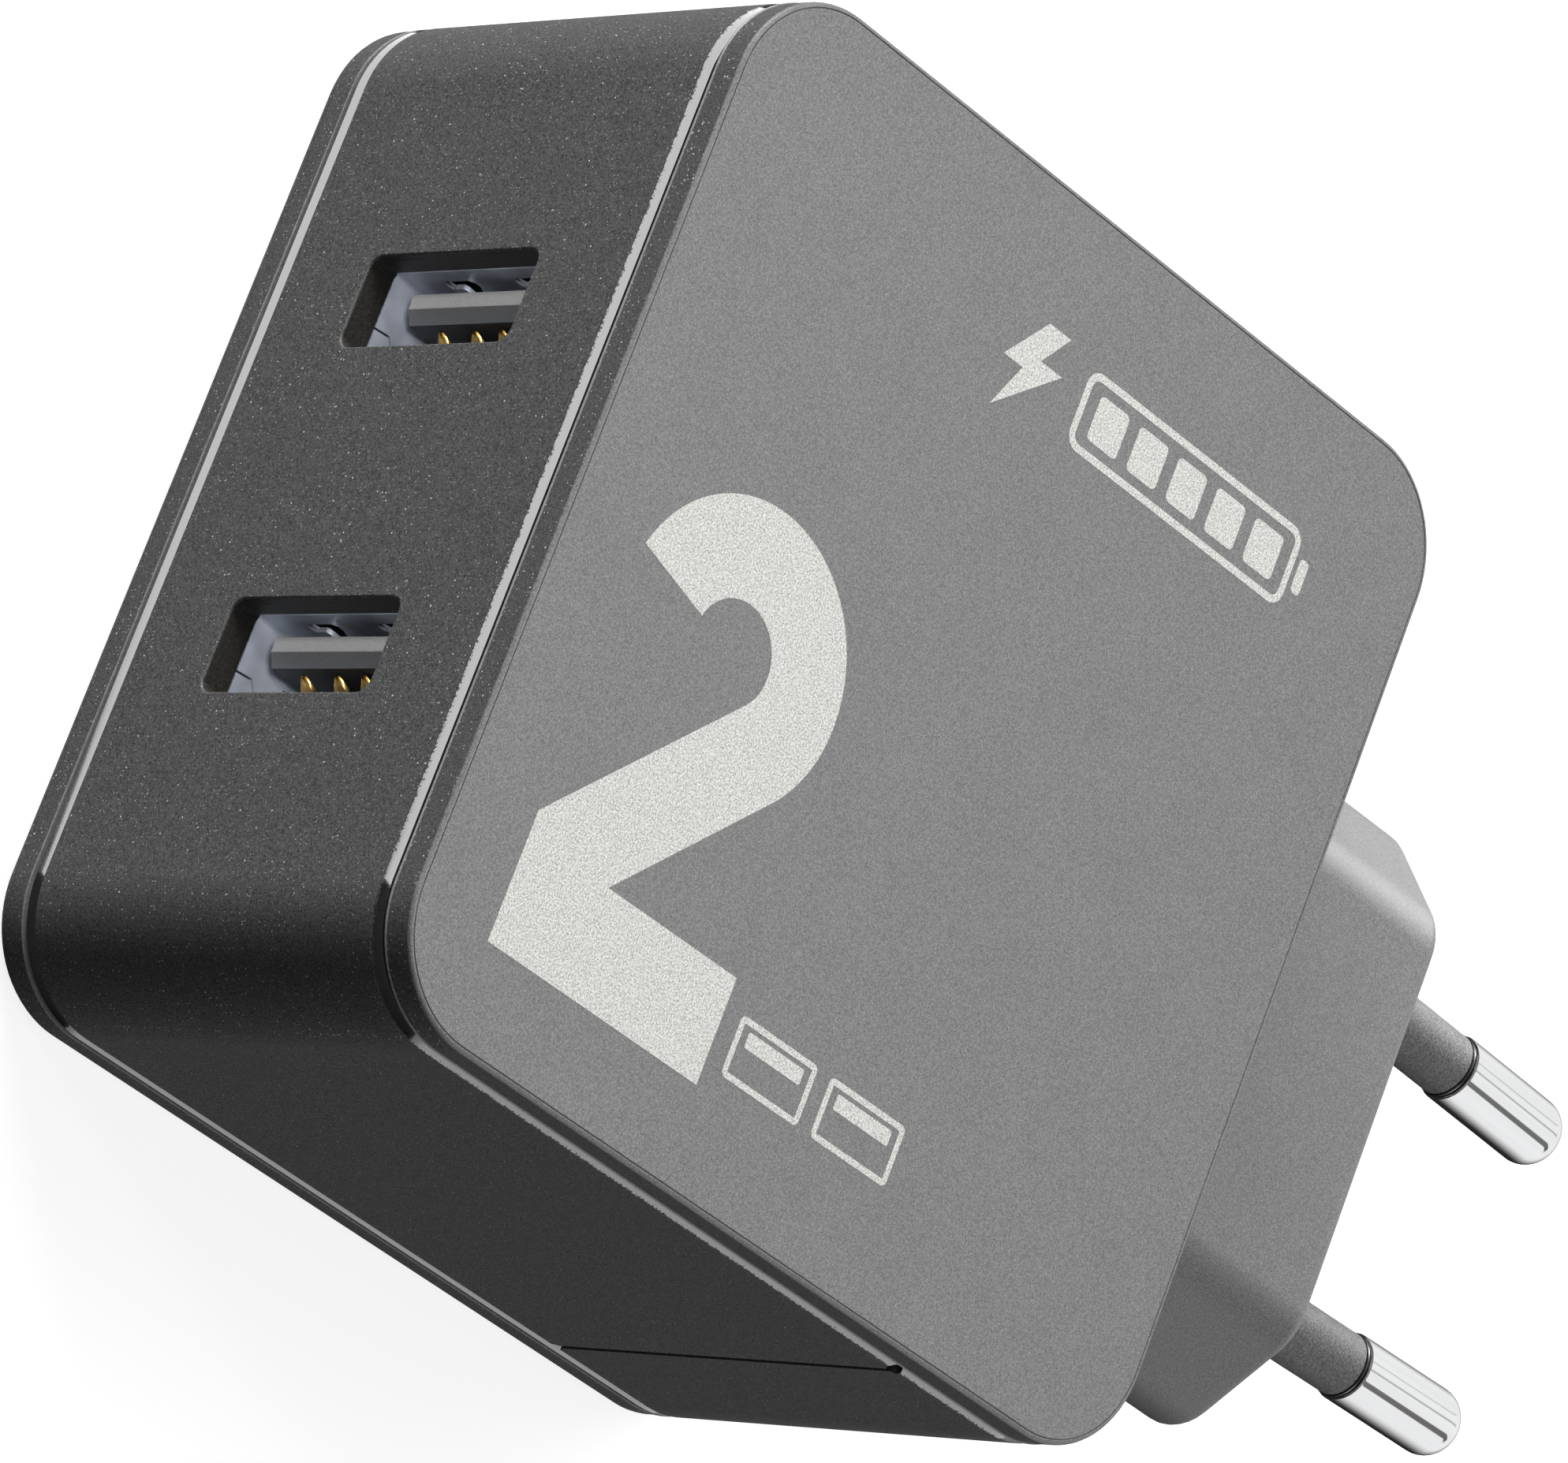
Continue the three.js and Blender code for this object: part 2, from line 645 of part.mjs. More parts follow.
// The bobbin wraps the middle leg; its feet stand on the board on both sides of the core.
function transformerBobbin() {
  const t = TRANSFORMER;
  const z0 = t.foot + t.wall / 2 + FIT;
  const z1 = t.foot + t.high - t.wall / 2 - FIT;
  const leg = t.core / 2 + FIT;
  const legDeep = t.deep / 2 - t.overhang + FIT;
  const flangeX = t.wide / 2 - t.wall / 2 - FIT;
  const flangeY = t.deep / 2 + t.overhang;
  const flange = (from) =>
    block(t.x - flangeX, t.x + flangeX, t.y - flangeY, t.y + flangeY, from, from + t.plate);
  const tubeX = leg + t.plate;
  const tubeY = legDeep + t.plate;
  const tube = block(t.x - tubeX, t.x + tubeX, t.y - tubeY, t.y + tubeY, z0, z1);
  const bore = block(t.x - leg, t.x + leg, t.y - legDeep, t.y + legDeep, 0, CASE_THICKNESS);
  const feet = [-1, 1].map((way) => {
    const outer = t.y + way * flangeY;
    const inner = t.y + way * (legDeep + 3 * FIT);
    const y0 = Math.min(outer, inner);
    const y1 = Math.max(outer, inner);
    return block(t.x - flangeX, t.x + flangeX, y0, y1, MOUNTED, z0 + t.plate / 2);
  });
  return cut(join(tube, flange(z0), flange(z1 - t.plate), ...feet), bore);
}

function transformerWinding() {
  const t = TRANSFORMER;
  const z0 = t.foot + t.wall / 2 + t.plate + 2 * FIT;
  const z1 = t.foot + t.high - t.wall / 2 - t.plate - 2 * FIT;
  const inX = t.core / 2 + t.plate + 2 * FIT;
  const inY = t.deep / 2 - t.overhang + t.plate + 2 * FIT;
  const outX = t.wide / 2 - t.wall / 2 - 4 * FIT;
  const outY = t.deep / 2 + 0.8 * t.overhang;
  const shape = roundedRectangle(2 * outX, 2 * outY, 1.5 * SHRINK, t.x, t.y);
  shape.holes.push(roundedRectangle(2 * inX, 2 * inY, 0.2, t.x, t.y));
  return rise(shape, z0, z1, 3);
}

// The choke is a drum core standing on the board with its winding in the waist.
const CHOKE = { x: 18.5, y: 7.5, radius: 3.9, waist: 2.0, high: 9.0, flange: 1.2 };

function chokeCore() {
  const c = CHOKE;
  const profile = [
    [0, 0],
    [c.radius, 0],
    [c.radius, c.flange],
    [c.waist, c.flange],
    [c.waist, c.high - c.flange],
    [c.radius, c.high - c.flange],
    [c.radius, c.high],
    [0, c.high],
  ];
  return standing(profile, c.x, c.y, 16);
}

function chokeWinding() {
  const c = CHOKE;
  const gap = FIT / SHRINK;
  const z0 = c.flange + gap;
  const z1 = c.high - c.flange - gap;
  const profile = [
    [c.waist + gap, z0],
    [c.radius - 0.4, z0],
    [c.radius - 0.2, (z0 + z1) / 2],
    [c.radius - 0.4, z1],
    [c.waist + gap, z1],
    [c.waist + gap, z0],
  ];
  return standing(profile, c.x, c.y, 16);
}

// A box with its upper edges cut off, the way moulded and potted parts are.
function moulded(x, y, wide, deep, high, chamfer = 0.4) {
  const [px, py] = onBoard(x, y);
  const half = (wide / 2) * SHRINK;
  const top = MOUNTED + high * SHRINK;
  const shape = polygon([
    [px - half, MOUNTED],
    [px + half, MOUNTED],
    [px + half, top - chamfer],
    [px + half - chamfer, top],
    [px - half + chamfer, top],
    [px - half, top - chamfer],
  ]);
  return reach(shape, py - (deep / 2) * SHRINK, py + (deep / 2) * SHRINK);
}

// The disc capacitor stands on edge on its two wire legs.
function discCapacitor(x, y, diameter) {
  const [px, py] = onBoard(x, y);
  const radius = (diameter / 2) * SHRINK;
  const disc = new THREE.CylinderGeometry(radius, radius, 3.0 * SHRINK, 20);
  disc.rotateZ(Math.PI / 2);
  disc.translate(px, py, MOUNTED + radius + 1.0);
  const wire = 0.35;
  const legs = [-1, 1].map((way) => {
    const middle = py + way * 0.6 * radius;
    return block(px - wire, px + wire, middle - wire, middle + wire, MOUNTED, MOUNTED + 1.0 + radius);
  });
  return join(toSolid(disc), ...legs);
}

// A thin fibre sheet folded up at its two sides, between the main board and the back cover.
function insulationSheet() {
  const sheet = 0.4;
  const half = MAIN_BOARD_WIDTH / 2 + 0.6;
  const z = MAIN_BOARD_UNDER - 2.2;
  const tray = block(-half, half, MAIN_BOARD_FRONT, MAIN_BOARD_END, z, z + 5.0);
  const inner = block(-half + sheet, half - sheet, 0, 2 * CASE_LENGTH, z + sheet, z + 9);
  const holes = boardPostPlaces().map(([x, y]) =>
    post(x, y, 0, MAIN_BOARD_UNDER, POST_DIAMETER + 2 * SLIDE, 12),
  );
  return cut(tray, inner, ...holes);
}

// Assembly

const COVER_GREY = { color: 0x86878a, roughness: 0.55, metalness: 0.1 };
const BAND_GREY = { color: 0x3c3c3f, roughness: 0.5, metalness: 0.2 };
const GLOSS_BLACK = { color: 0x101012, roughness: 0.1, metalness: 0.0 };
const CHROME = { color: 0xe4e7ea, roughness: 0.08, metalness: 1.0 };
const SLEEVE_GREY = { color: 0x6f7072, roughness: 0.6, metalness: 0.0 };
const NICKEL = { color: 0x9aa0a8, roughness: 0.25, metalness: 1.0 };
const INSULATOR_GREY = { color: 0x8a8a8a, roughness: 0.6, metalness: 0.0 };
const GOLD = { color: 0xd0a040, roughness: 0.25, metalness: 1.0 };
const BOARD_GREEN = { color: 0x1f6b3a, roughness: 0.5, metalness: 0.0 };
const BRASS = { color: 0xc9a24b, roughness: 0.35, metalness: 1.0 };
const FERRITE = { color: 0x2c2d30, roughness: 0.7, metalness: 0.1 };
const TAPE_YELLOW = { color: 0xd9b32a, roughness: 0.5, metalness: 0.0 };
const BLACK_PLASTIC = { color: 0x1a1a1c, roughness: 0.5, metalness: 0.0 };
const CAN_BLACK = { color: 0x20242c, roughness: 0.4, metalness: 0.0 };
const CAN_SILVER = { color: 0xb9bcc0, roughness: 0.35, metalness: 0.9 };
const COPPER = { color: 0xb5652c, roughness: 0.35, metalness: 0.9 };
const FUSE_GREEN = { color: 0x3d7f55, roughness: 0.5, metalness: 0.0 };
const FILM_YELLOW = { color: 0xe0c040, roughness: 0.5, metalness: 0.0 };
const DISC_BLUE = { color: 0x2b62a8, roughness: 0.45, metalness: 0.0 };
const SHEET_WHITE = { color: 0xe6e4dc, roughness: 0.8, metalness: 0.0 };

const charger = new THREE.Group();
charger.name = "usb_wall_charger";

function add(name, solid, look) {
  const mesh = new THREE.Mesh(toGeometry(solid), new THREE.MeshStandardMaterial(look));
  mesh.name = name;
  charger.add(mesh);
}

add("top_cover", topCover(), COVER_GREY);
add("back_cover", backCover(), COVER_GREY);
add("top_trim_ring", trim(BAND_TOP + FIT), GLOSS_BLACK);
add("back_trim_ring", trim(BAND_BOTTOM - TRIM_STRIP), GLOSS_BLACK);
add("front_shell", frontShell(), BAND_GREY);
add("rear_shell", rearShell(), BAND_GREY);
add("plug_boss", plugBoss(), COVER_GREY);

["left", "right"].forEach((name, i) => {
  const side = i === 0 ? -1 : 1;
  add("pin_" + name, pin(side), CHROME);
  add("pin_sleeve_" + name, sleeve(side), SLEEVE_GREY);
  add("mains_contact_" + name, mainsContact(side), BRASS);
});

PORT_CENTRES.forEach((x, i) => {
  const port = "usb_" + (i + 1);
  add(port + "_shell", usbShell(x), NICKEL);
  add(port + "_tongue", usbTongue(x), INSULATOR_GREY);
  CONTACT_PLACES.forEach((place, k) => {
    add(port + "_contact_" + (k + 1), usbContact(x, place), GOLD);
  });
});

add("usb_board", usbBoard(), BOARD_GREEN);
add("main_board", mainBoard(), BOARD_GREEN);
add("insulation_sheet", insulationSheet(), SHEET_WHITE);
add("transformer_core_lower", transformerCore(-1), FERRITE);
add("transformer_core_upper", transformerCore(1), FERRITE);
add("transformer_bobbin", transformerBobbin(), BLACK_PLASTIC);
add("transformer_winding", transformerWinding(), TAPE_YELLOW);
add("bulk_capacitor_1", canCapacitor(-18.5, 27.0, 9.5, 18.0), CAN_BLACK);
add("bulk_capacitor_2", canCapacitor(-18.5, 16.5, 9.5, 18.0), CAN_BLACK);
add("output_capacitor_1", canCapacitor(-19.0, 5.5, 8.0, 14.0), CAN_SILVER);
add("output_capacitor_2", canCapacitor(13.5, 16.0, 8.0, 14.0), CAN_SILVER);
add("choke_core", chokeCore(), FERRITE);
add("choke_winding", chokeWinding(), COPPER);
add("film_capacitor", moulded(18.5, 26.0, 6.5, 12.0, 11.0), FILM_YELLOW);
add("bridge_rectifier", moulded(0.0, 26.5, 8.0, 3.6, 8.0), BLACK_PLASTIC);
add("fuse", moulded(11.0, 25.0, 4.0, 8.0, 7.0), FUSE_GREEN);
add("disc_capacitor", discCapacitor(20.5, 16.0, 8.0), DISC_BLUE);
add("controller_chip", moulded(4.0, 3.5, 6.0, 4.4, 1.6, 0.2), BLACK_PLASTIC);
add("optocoupler", moulded(-8.0, 3.5, 4.6, 4.4, 3.4, 0.2), BLACK_PLASTIC);

charger.children.forEach((piece) => piece.position.set(0, -FACE_Y, -MID_Z));

export default charger;
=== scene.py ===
"""USB wall charger with a fixed Europlug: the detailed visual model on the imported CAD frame.

All sizes below are millimetres in the case frame, where Y = 0 is the port face and Z = 0 the back
cover. place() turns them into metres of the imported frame, whose origin is the plug's end face.
"""

import json
import math

import bmesh
import bpy
from mathutils import Matrix, Vector

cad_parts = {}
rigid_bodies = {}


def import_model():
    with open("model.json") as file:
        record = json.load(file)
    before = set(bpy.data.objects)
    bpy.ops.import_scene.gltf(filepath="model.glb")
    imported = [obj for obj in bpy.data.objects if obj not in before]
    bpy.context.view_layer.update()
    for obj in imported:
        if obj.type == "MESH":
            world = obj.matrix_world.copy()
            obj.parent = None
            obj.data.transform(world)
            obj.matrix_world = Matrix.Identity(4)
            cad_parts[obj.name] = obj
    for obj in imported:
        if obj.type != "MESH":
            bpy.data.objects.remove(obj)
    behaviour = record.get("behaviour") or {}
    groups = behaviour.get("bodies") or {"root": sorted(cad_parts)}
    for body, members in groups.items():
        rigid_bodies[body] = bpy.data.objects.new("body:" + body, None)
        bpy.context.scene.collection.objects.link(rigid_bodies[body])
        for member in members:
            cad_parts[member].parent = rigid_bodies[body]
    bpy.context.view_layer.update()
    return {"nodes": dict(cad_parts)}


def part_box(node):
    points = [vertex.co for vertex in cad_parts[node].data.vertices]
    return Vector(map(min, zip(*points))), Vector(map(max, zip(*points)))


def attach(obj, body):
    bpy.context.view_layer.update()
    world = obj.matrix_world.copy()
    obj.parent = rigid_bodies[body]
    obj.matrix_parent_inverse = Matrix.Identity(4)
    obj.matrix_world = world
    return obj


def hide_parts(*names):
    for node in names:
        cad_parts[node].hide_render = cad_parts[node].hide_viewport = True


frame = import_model()

MM = 0.001

# ---------------------------------------------------------------- sizes


def node_box(name):
    """A node's lowest and highest corner, in millimetres of the frame."""
    low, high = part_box(name)
    return low / MM, high / MM


top_low, top_high = node_box("top_cover")
back_low = node_box("back_cover")[0]
front_low, front_high = node_box("front_shell")
boss_high = node_box("plug_boss")[1]
SHIFT = Vector((0.0, front_low.y, back_low.z))

# The case, as packed
WIDTH = top_high.x - top_low.x
LENGTH = top_high.y - top_low.y
THICK = top_high.z - back_low.z
FACE = boss_high.y - front_low.y
MID_Z = THICK / 2
BAND_LOW = front_low.z - back_low.z
BAND_HIGH = front_high.z - back_low.z
RADIUS = 6.2
WALL = 1.8

# The seam between the two shells of the band, and the bites where it meets their rims
SEAM_FROM_BACK = 13.5
SEAM_HALF = 0.16
SEAM_MIDDLE = LENGTH - SEAM_FROM_BACK
SEAM_FRONT = SEAM_MIDDLE - SEAM_HALF
SEAM_BACK = SEAM_MIDDLE + SEAM_HALF
NOTCH_RADIUS = 0.42

# The grooves between the band and the covers
GROOVE_STRIP = 0.65
GROOVE_GAP = 0.3
TRIM_OVERLAP = 0.02
TRIM_TALL = 0.70
TRIM_TILT = 36.0
TRIM_RISE = 0.46
TRIM_BOW = 0.02
CHANNEL_DEPTH = 0.25

# The covers: roundings, the step at the foot, and the face plate with the hairline round it
TOP_ROUND = 0.24
BACK_ROUND = 1.0
FOOT_TALL = 0.09
FOOT_STEP = 0.05
FOOT_TOP = FOOT_TALL + 1.3 * FOOT_STEP
PLATE_RIM = 0.03
PLATE_GAP = 0.035
PLATE_DEPTH = 0.10
INK_LIFT = 0.012

# The port openings, and what is behind them
PORT_X = tuple(
    (node_box(shell)[0].x + node_box(shell)[1].x) / 2 for shell in ("usb_1_shell", "usb_2_shell")
)
PORT_LONG = 12.5
PORT_SHORT = 5.2
PORT_EASE = 0.14
PORT_CORNER = 0.8
PORT_CORNER_INSIDE = 0.28
RECESS_SHADE_FROM, RECESS_SHADE_TO = 0.16, 1.9
RECESS_SHADE_REACH_X, RECESS_SHADE_REACH_Z = 14, 7
SHELL_SHORT = 5.12
SHELL_CORNER = 0.20
SHEET = 0.3
SHELL_FRONT = 1.65
SHELL_BACK = 15.2
WINDOW_FRONT = SHELL_FRONT + 1.05
WINDOW_Z = 2.6
TONGUE_GAP = 0.75
TONGUE_THICK = 1.5
TONGUE_WIDE = 11.1
TONGUE_FRONT = SHELL_FRONT + 0.9
TONGUE_CHAMFER = 0.62
BLOCK_FRONT = 11.2
CONTACT_Z = (-3.5, -1.0, 1.0, 3.5)

# The plug, by the Europlug standard
BOSS_WIDE = 35.3
BOSS_TALL = 13.7
CREASE_R = 3.8
TIP_R = 3.0
RIM_ROUND = 1.15
PIN_SPACING = 18.6
PIN_SPACING_TIP = 17.5
PIN_LONG = 19.0
PIN_RADIUS = 2.0
PIN_CORE = 1.5
PIN_END = 1.6
SLEEVE_RADIUS = 1.85
SLEEVE_LONG = 10.0
LEAN = math.atan((PIN_SPACING - PIN_SPACING_TIP) / 2 / PIN_LONG)


def place(x, y, z):
    """A case-frame point in millimetres as a point of the frame in metres."""
    return (Vector((x, y, z)) + SHIFT) * MM


# ---------------------------------------------------------------- mesh building

CUTTER_SHARP = 32.0
BAND_SHARP = 40
CASE_STEPS = 18


def linked(obj):
    """The object, put into the scene."""
    bpy.context.scene.collection.objects.link(obj)
    return obj


class Skin:
    """Collects rings of points and the faces between them."""

    def __init__(self):
        self.verts = []
        self.faces = []

    def ring(self, points):
        start = len(self.verts)
        self.verts.extend(place(*p) for p in points)
        return list(range(start, len(self.verts)))

    def bridge(self, a, b, closed=True):
        """Faces between two rings; the last points join the first ones if closed."""
        n = len(a)
        for i in range(n if closed else n - 1):
            j = (i + 1) % n
            self.faces.append((a[i], a[j], b[j], b[i]))

    def cap(self, ring, flip=False):
        self.faces.append(tuple(reversed(ring)) if flip else tuple(ring))

    def loft(self, rings, loop=False):
        """A closed body through rings of points: capped, or joined end to end if loop."""
        ids = [self.ring(r) for r in rings]
        for a, b in zip(ids, ids[1:]):
            self.bridge(a, b)
        if loop:
            self.bridge(ids[-1], ids[0])
        else:
            self.cap(ids[0], flip=True)
            self.cap(ids[-1])

    def object(self, name, sharp):
        """The finished object; edges that turn by more than sharp degrees stay sharp."""
        mesh = bpy.data.meshes.new(name)
        mesh.from_pydata([tuple(v) for v in self.verts], [], self.faces)
        mesh.validate()
        work = bmesh.new()
        work.from_mesh(mesh)
        bmesh.ops.remove_doubles(work, verts=work.verts, dist=1e-7)
        bmesh.ops.recalc_face_normals(work, faces=work.faces)
        work.to_mesh(mesh)
        work.free()
        mesh.shade_smooth()
        mesh.set_sharp_from_angle(angle=math.radians(sharp))
        return linked(bpy.data.objects.new(name, mesh))

    def cutter(self):
        return self.object("cutter", CUTTER_SHARP)


def weighted(obj):
    """Keeps large flat faces flat where they meet a small rounding."""
    mod = obj.modifiers.new("normals", "WEIGHTED_NORMAL")
    mod.weight = 100
    mod.keep_sharp = True
    return obj


def carve(obj, cutters, sharp):
    """Takes the cutters out of the object and throws them away."""
    for cutter in cutters:
        mod = obj.modifiers.new("carve", "BOOLEAN")
        mod.operation = "DIFFERENCE"
        mod.solver = "EXACT"
        mod.object = cutter
    depsgraph = bpy.context.evaluated_depsgraph_get()
    mesh = bpy.data.meshes.new_from_object(obj.evaluated_get(depsgraph))
    obj.modifiers.clear()
    old = obj.data
    obj.data = mesh
    bpy.data.meshes.remove(old)
    for cutter in cutters:
        data = cutter.data
        bpy.data.objects.remove(cutter)
        bpy.data.meshes.remove(data)
    mesh.shade_smooth()
    mesh.set_sharp_from_angle(angle=math.radians(sharp))
    return obj


def arc(cx, cy, radius, start, end, steps):
    """Points of an arc, from start to end in degrees."""
    out = []
    for i in range(steps + 1):
        a = math.radians(start + (end - start) * i / steps)
        out.append((cx + radius * math.cos(a), cy + radius * math.sin(a)))
    return out


def rounded_rectangle(wide, high, radius, cx, cy, steps):
    a, b = wide / 2 - radius, high / 2 - radius
    out = []
    out += arc(cx + a, cy + b, radius, 0, 90, steps)
    out += arc(cx - a, cy + b, radius, 90, 180, steps)
    out += arc(cx - a, cy - b, radius, 180, 270, steps)
    out += arc(cx + a, cy - b, radius, 270, 360, steps)
    return out


def case_outline(inset):
    """The case's plan outline, that far inside its side faces."""
    radius = max(RADIUS - inset, 0.3)
    return rounded_rectangle(
        WIDTH - 2 * inset, LENGTH - 2 * inset, radius, 0.0, LENGTH / 2, CASE_STEPS
    )


def soft_polygon(corners, grow, steps):
    """A convex outline whose corners (x, y, radius) are rounded, moved outward by grow."""
    n = len(corners)
    lines = []
    for i in range(n):
        p, q = Vector(corners[i][:2]), Vector(corners[(i + 1) % n][:2])
        d = (q - p).normalized()
        out = Vector((d.y, -d.x))
        lines.append((p + out * grow, d))
    points = []
    for i in range(n):
        (p, d), (q, e) = lines[i - 1], lines[i]
        cross = d.x * e.y - d.y * e.x
        t = ((q - p).x * e.y - (q - p).y * e.x) / cross
        corner = p + d * t
        turn = math.atan2(cross, d.dot(e))
        radius = max(corners[i][2] + grow, 0.05)
        reach = radius * math.tan(abs(turn) / 2)
        start = corner - d * reach
        centre = start + Vector((-d.y, d.x)) * radius
        first = math.degrees(math.atan2((start - centre).y, (start - centre).x))
        points += arc(centre.x, centre.y, radius, first, first + math.degrees(turn), steps)
    return points


def rounding(radius, steps):
    """(inset, rise) pairs of a quarter round, from (0, 0) on the side to (radius, radius)."""
    out = []
    for i in range(steps + 1):
        a = (math.pi / 2) * i / steps
        out.append((radius * (1 - math.cos(a)), radius * math.sin(a)))
    return out


def case_rings(profile, outer_z=0.0, up=1):
    """Rings round the case from (inset, rise) pairs, measured from outer_z."""
    return [
        [(x, y, outer_z + up * rise) for x, y in case_outline(inset)] for inset, rise in profile
    ]


def section_rings(outline, stations):
    """Rings across Y from (grow, y) pairs; outline(grow) gives each one's X and Z."""
    return [[(x, y, z) for x, z in outline(grow)] for grow, y in stations]


# ---------------------------------------------------------------- materials


class Look:
    """A material built from nodes, whose pattern is measured in millimetres of the object."""

    def __init__(self, name):
        self.material = bpy.data.materials.new(name)
        self.material.use_nodes = True
        self.tree = self.material.node_tree
        self.shader = self.tree.nodes["Principled BSDF"]
        coordinate = self.node("ShaderNodeTexCoord")
        scale = self.node("ShaderNodeMapping")
        scale.inputs["Scale"].default_value = (1 / MM, 1 / MM, 1 / MM)
        self.link(coordinate.outputs["Object"], scale.inputs["Vector"])
        self.place = scale.outputs["Vector"]

    def node(self, kind):
        return self.tree.nodes.new(kind)

    def link(self, a, b):
        self.tree.links.new(a, b)

    def set(self, **values):
        """Sets the shader's own sockets; a _ stands for a space in a socket's name."""
        for key, value in values.items():
            self.shader.inputs[key.replace("_", " ")].default_value = value
        return self

    def stretched(self, scale):
        mapping = self.node("ShaderNodeMapping")
        mapping.inputs["Scale"].default_value = scale
        self.link(self.place, mapping.inputs["Vector"])
        return mapping.outputs["Vector"]

    def noise(self, size, detail, rough, vector=None):
        """Noise whose features are about size millimetres across."""
        n = self.node("ShaderNodeTexNoise")
        n.inputs["Scale"].default_value = 1.0 / size
        n.inputs["Detail"].default_value = detail
        n.inputs["Roughness"].default_value = rough
        self.link(vector or self.place, n.inputs["Vector"])
        return n.outputs["Fac"]

    def specks(self, cell, radius, share):
        """Dots of uneven brightness on 0: that share of the cells holds a dot of that radius."""
        v = self.node("ShaderNodeTexVoronoi")
        v.inputs["Scale"].default_value = 1.0 / cell
        self.link(self.place, v.inputs["Vector"])
        near = self.math("LESS_THAN", v.outputs["Distance"], radius / cell)
        split = self.node("ShaderNodeSeparateColor")
        self.link(v.outputs["Color"], split.inputs["Color"])
        chosen = self.math("GREATER_THAN", split.outputs["Red"], 1.0 - share)
        bright = self.math("MULTIPLY", near, chosen)
        return self.math("MULTIPLY", bright, split.outputs["Green"])

    def math(self, operation, a, b):
        m = self.node("ShaderNodeMath")
        m.operation = operation
        for i, value in enumerate((a, b)):
            if isinstance(value, (int, float)):
                m.inputs[i].default_value = value
            else:
                self.link(value, m.inputs[i])
        return m.outputs["Value"]

    def ramp(self, factor, stops):
        """A colour from (position, colour) stops."""
        r = self.node("ShaderNodeValToRGB")
        elements = r.color_ramp.elements
        while len(elements) < len(stops):
            elements.new(0.5)
        for element, (position, colour) in zip(elements, stops):
            element.position = position
            element.color = (*colour, 1.0)
        self.link(factor, r.inputs["Fac"])
        return r.outputs["Color"]

    def blend(self, factor, a, b):
        """Socket or colour a where the factor is 0, and b where it is 1."""
        m = self.node("ShaderNodeMix")
        m.data_type = "RGBA"
        self.link(factor, m.inputs["Factor"])
        for socket, value in ((m.inputs["A"], a), (m.inputs["B"], b)):
            if isinstance(value, tuple):
                socket.default_value = (*value, 1.0)
            else:
                self.link(value, socket)
        return m.outputs["Result"]

    def range(self, factor, low, high):
        """The factor's 0 to 1 turned into low to high."""
        m = self.node("ShaderNodeMapRange")
        m.inputs["To Min"].default_value = low
        m.inputs["To Max"].default_value = high
        self.link(factor, m.inputs["Value"])
        return m.outputs["Result"]

    def colour(self, socket):
        self.link(socket, self.shader.inputs["Base Color"])
        return self

    def roughness(self, socket):
        self.link(socket, self.shader.inputs["Roughness"])
        return self

    def bump(self, height, strength, depth):
        b = self.node("ShaderNodeBump")
        b.inputs["Strength"].default_value = strength
        b.inputs["Distance"].default_value = depth * MM
        self.link(height, b.inputs["Height"])
        self.link(b.outputs["Normal"], self.shader.inputs["Normal"])
        return self


def grey(v):
    return (v, v, v)


def tinted(v, r, g, b):
    return (v * r, v * g, v * b)


def cover_paint():
    """Matt grey paint with a fine grain and a trace of broad unevenness. It is the lit copy of the
    paint the band wears too: its extra lightness is painted sheen.
    """
    look = Look("cover_paint").set(Metallic=0.0, Specular_IOR_Level=0.45)
    fine = look.noise(0.085, 3.0, 0.72)
    broad = look.noise(5.0, 2.0, 0.5)
    mixed = look.math("ADD", look.math("MULTIPLY", fine, 0.96), look.math("MULTIPLY", broad, 0.04))
    stops = [(0.34, grey(0.070)), (0.50, grey(0.141)), (0.66, grey(0.236))]
    look.colour(look.ramp(mixed, stops))
    look.roughness(look.range(fine, 0.44, 0.60))
    return look.bump(fine, 0.45, 0.03).material


def band_paint():
    """Anthracite paint with small and larger light specks. It is the shaded copy of the cover's
    paint, darker as painted shade on the side walls.
    """
    look = Look("band_paint").set(Metallic=0.0, Specular_IOR_Level=0.35)
    fine = look.noise(0.085, 3.0, 0.75)
    base = look.ramp(fine, [(0.38, grey(0.036)), (0.62, grey(0.158))])
    shine = look.math("MAXIMUM", look.specks(0.20, 0.032, 0.42), look.specks(0.45, 0.047, 0.32))
    look.colour(look.blend(shine, base, grey(0.90)))
    look.roughness(look.range(fine, 0.42, 0.58))
    return look.bump(fine, 0.4, 0.025).material


def recess_shade_plastic():
    """Dark brownish plastic inside the port openings, with faint moulding lines; its darkness is
    painted shade in the recesses.
    """
    look = Look("recess_shade_plastic").set(Specular_IOR_Level=0.35)
    fine = look.noise(0.2, 3.0, 0.6)
    lines = look.noise(0.12, 1.0, 0.5, look.stretched((1.0, 1.0, 0.02)))
    look.colour(look.ramp(fine, [(0.3, (0.030, 0.027, 0.023)), (0.7, (0.062, 0.056, 0.048))]))
    look.roughness(look.range(fine, 0.45, 0.65))
    return look.bump(lines, 0.5, 0.05).material


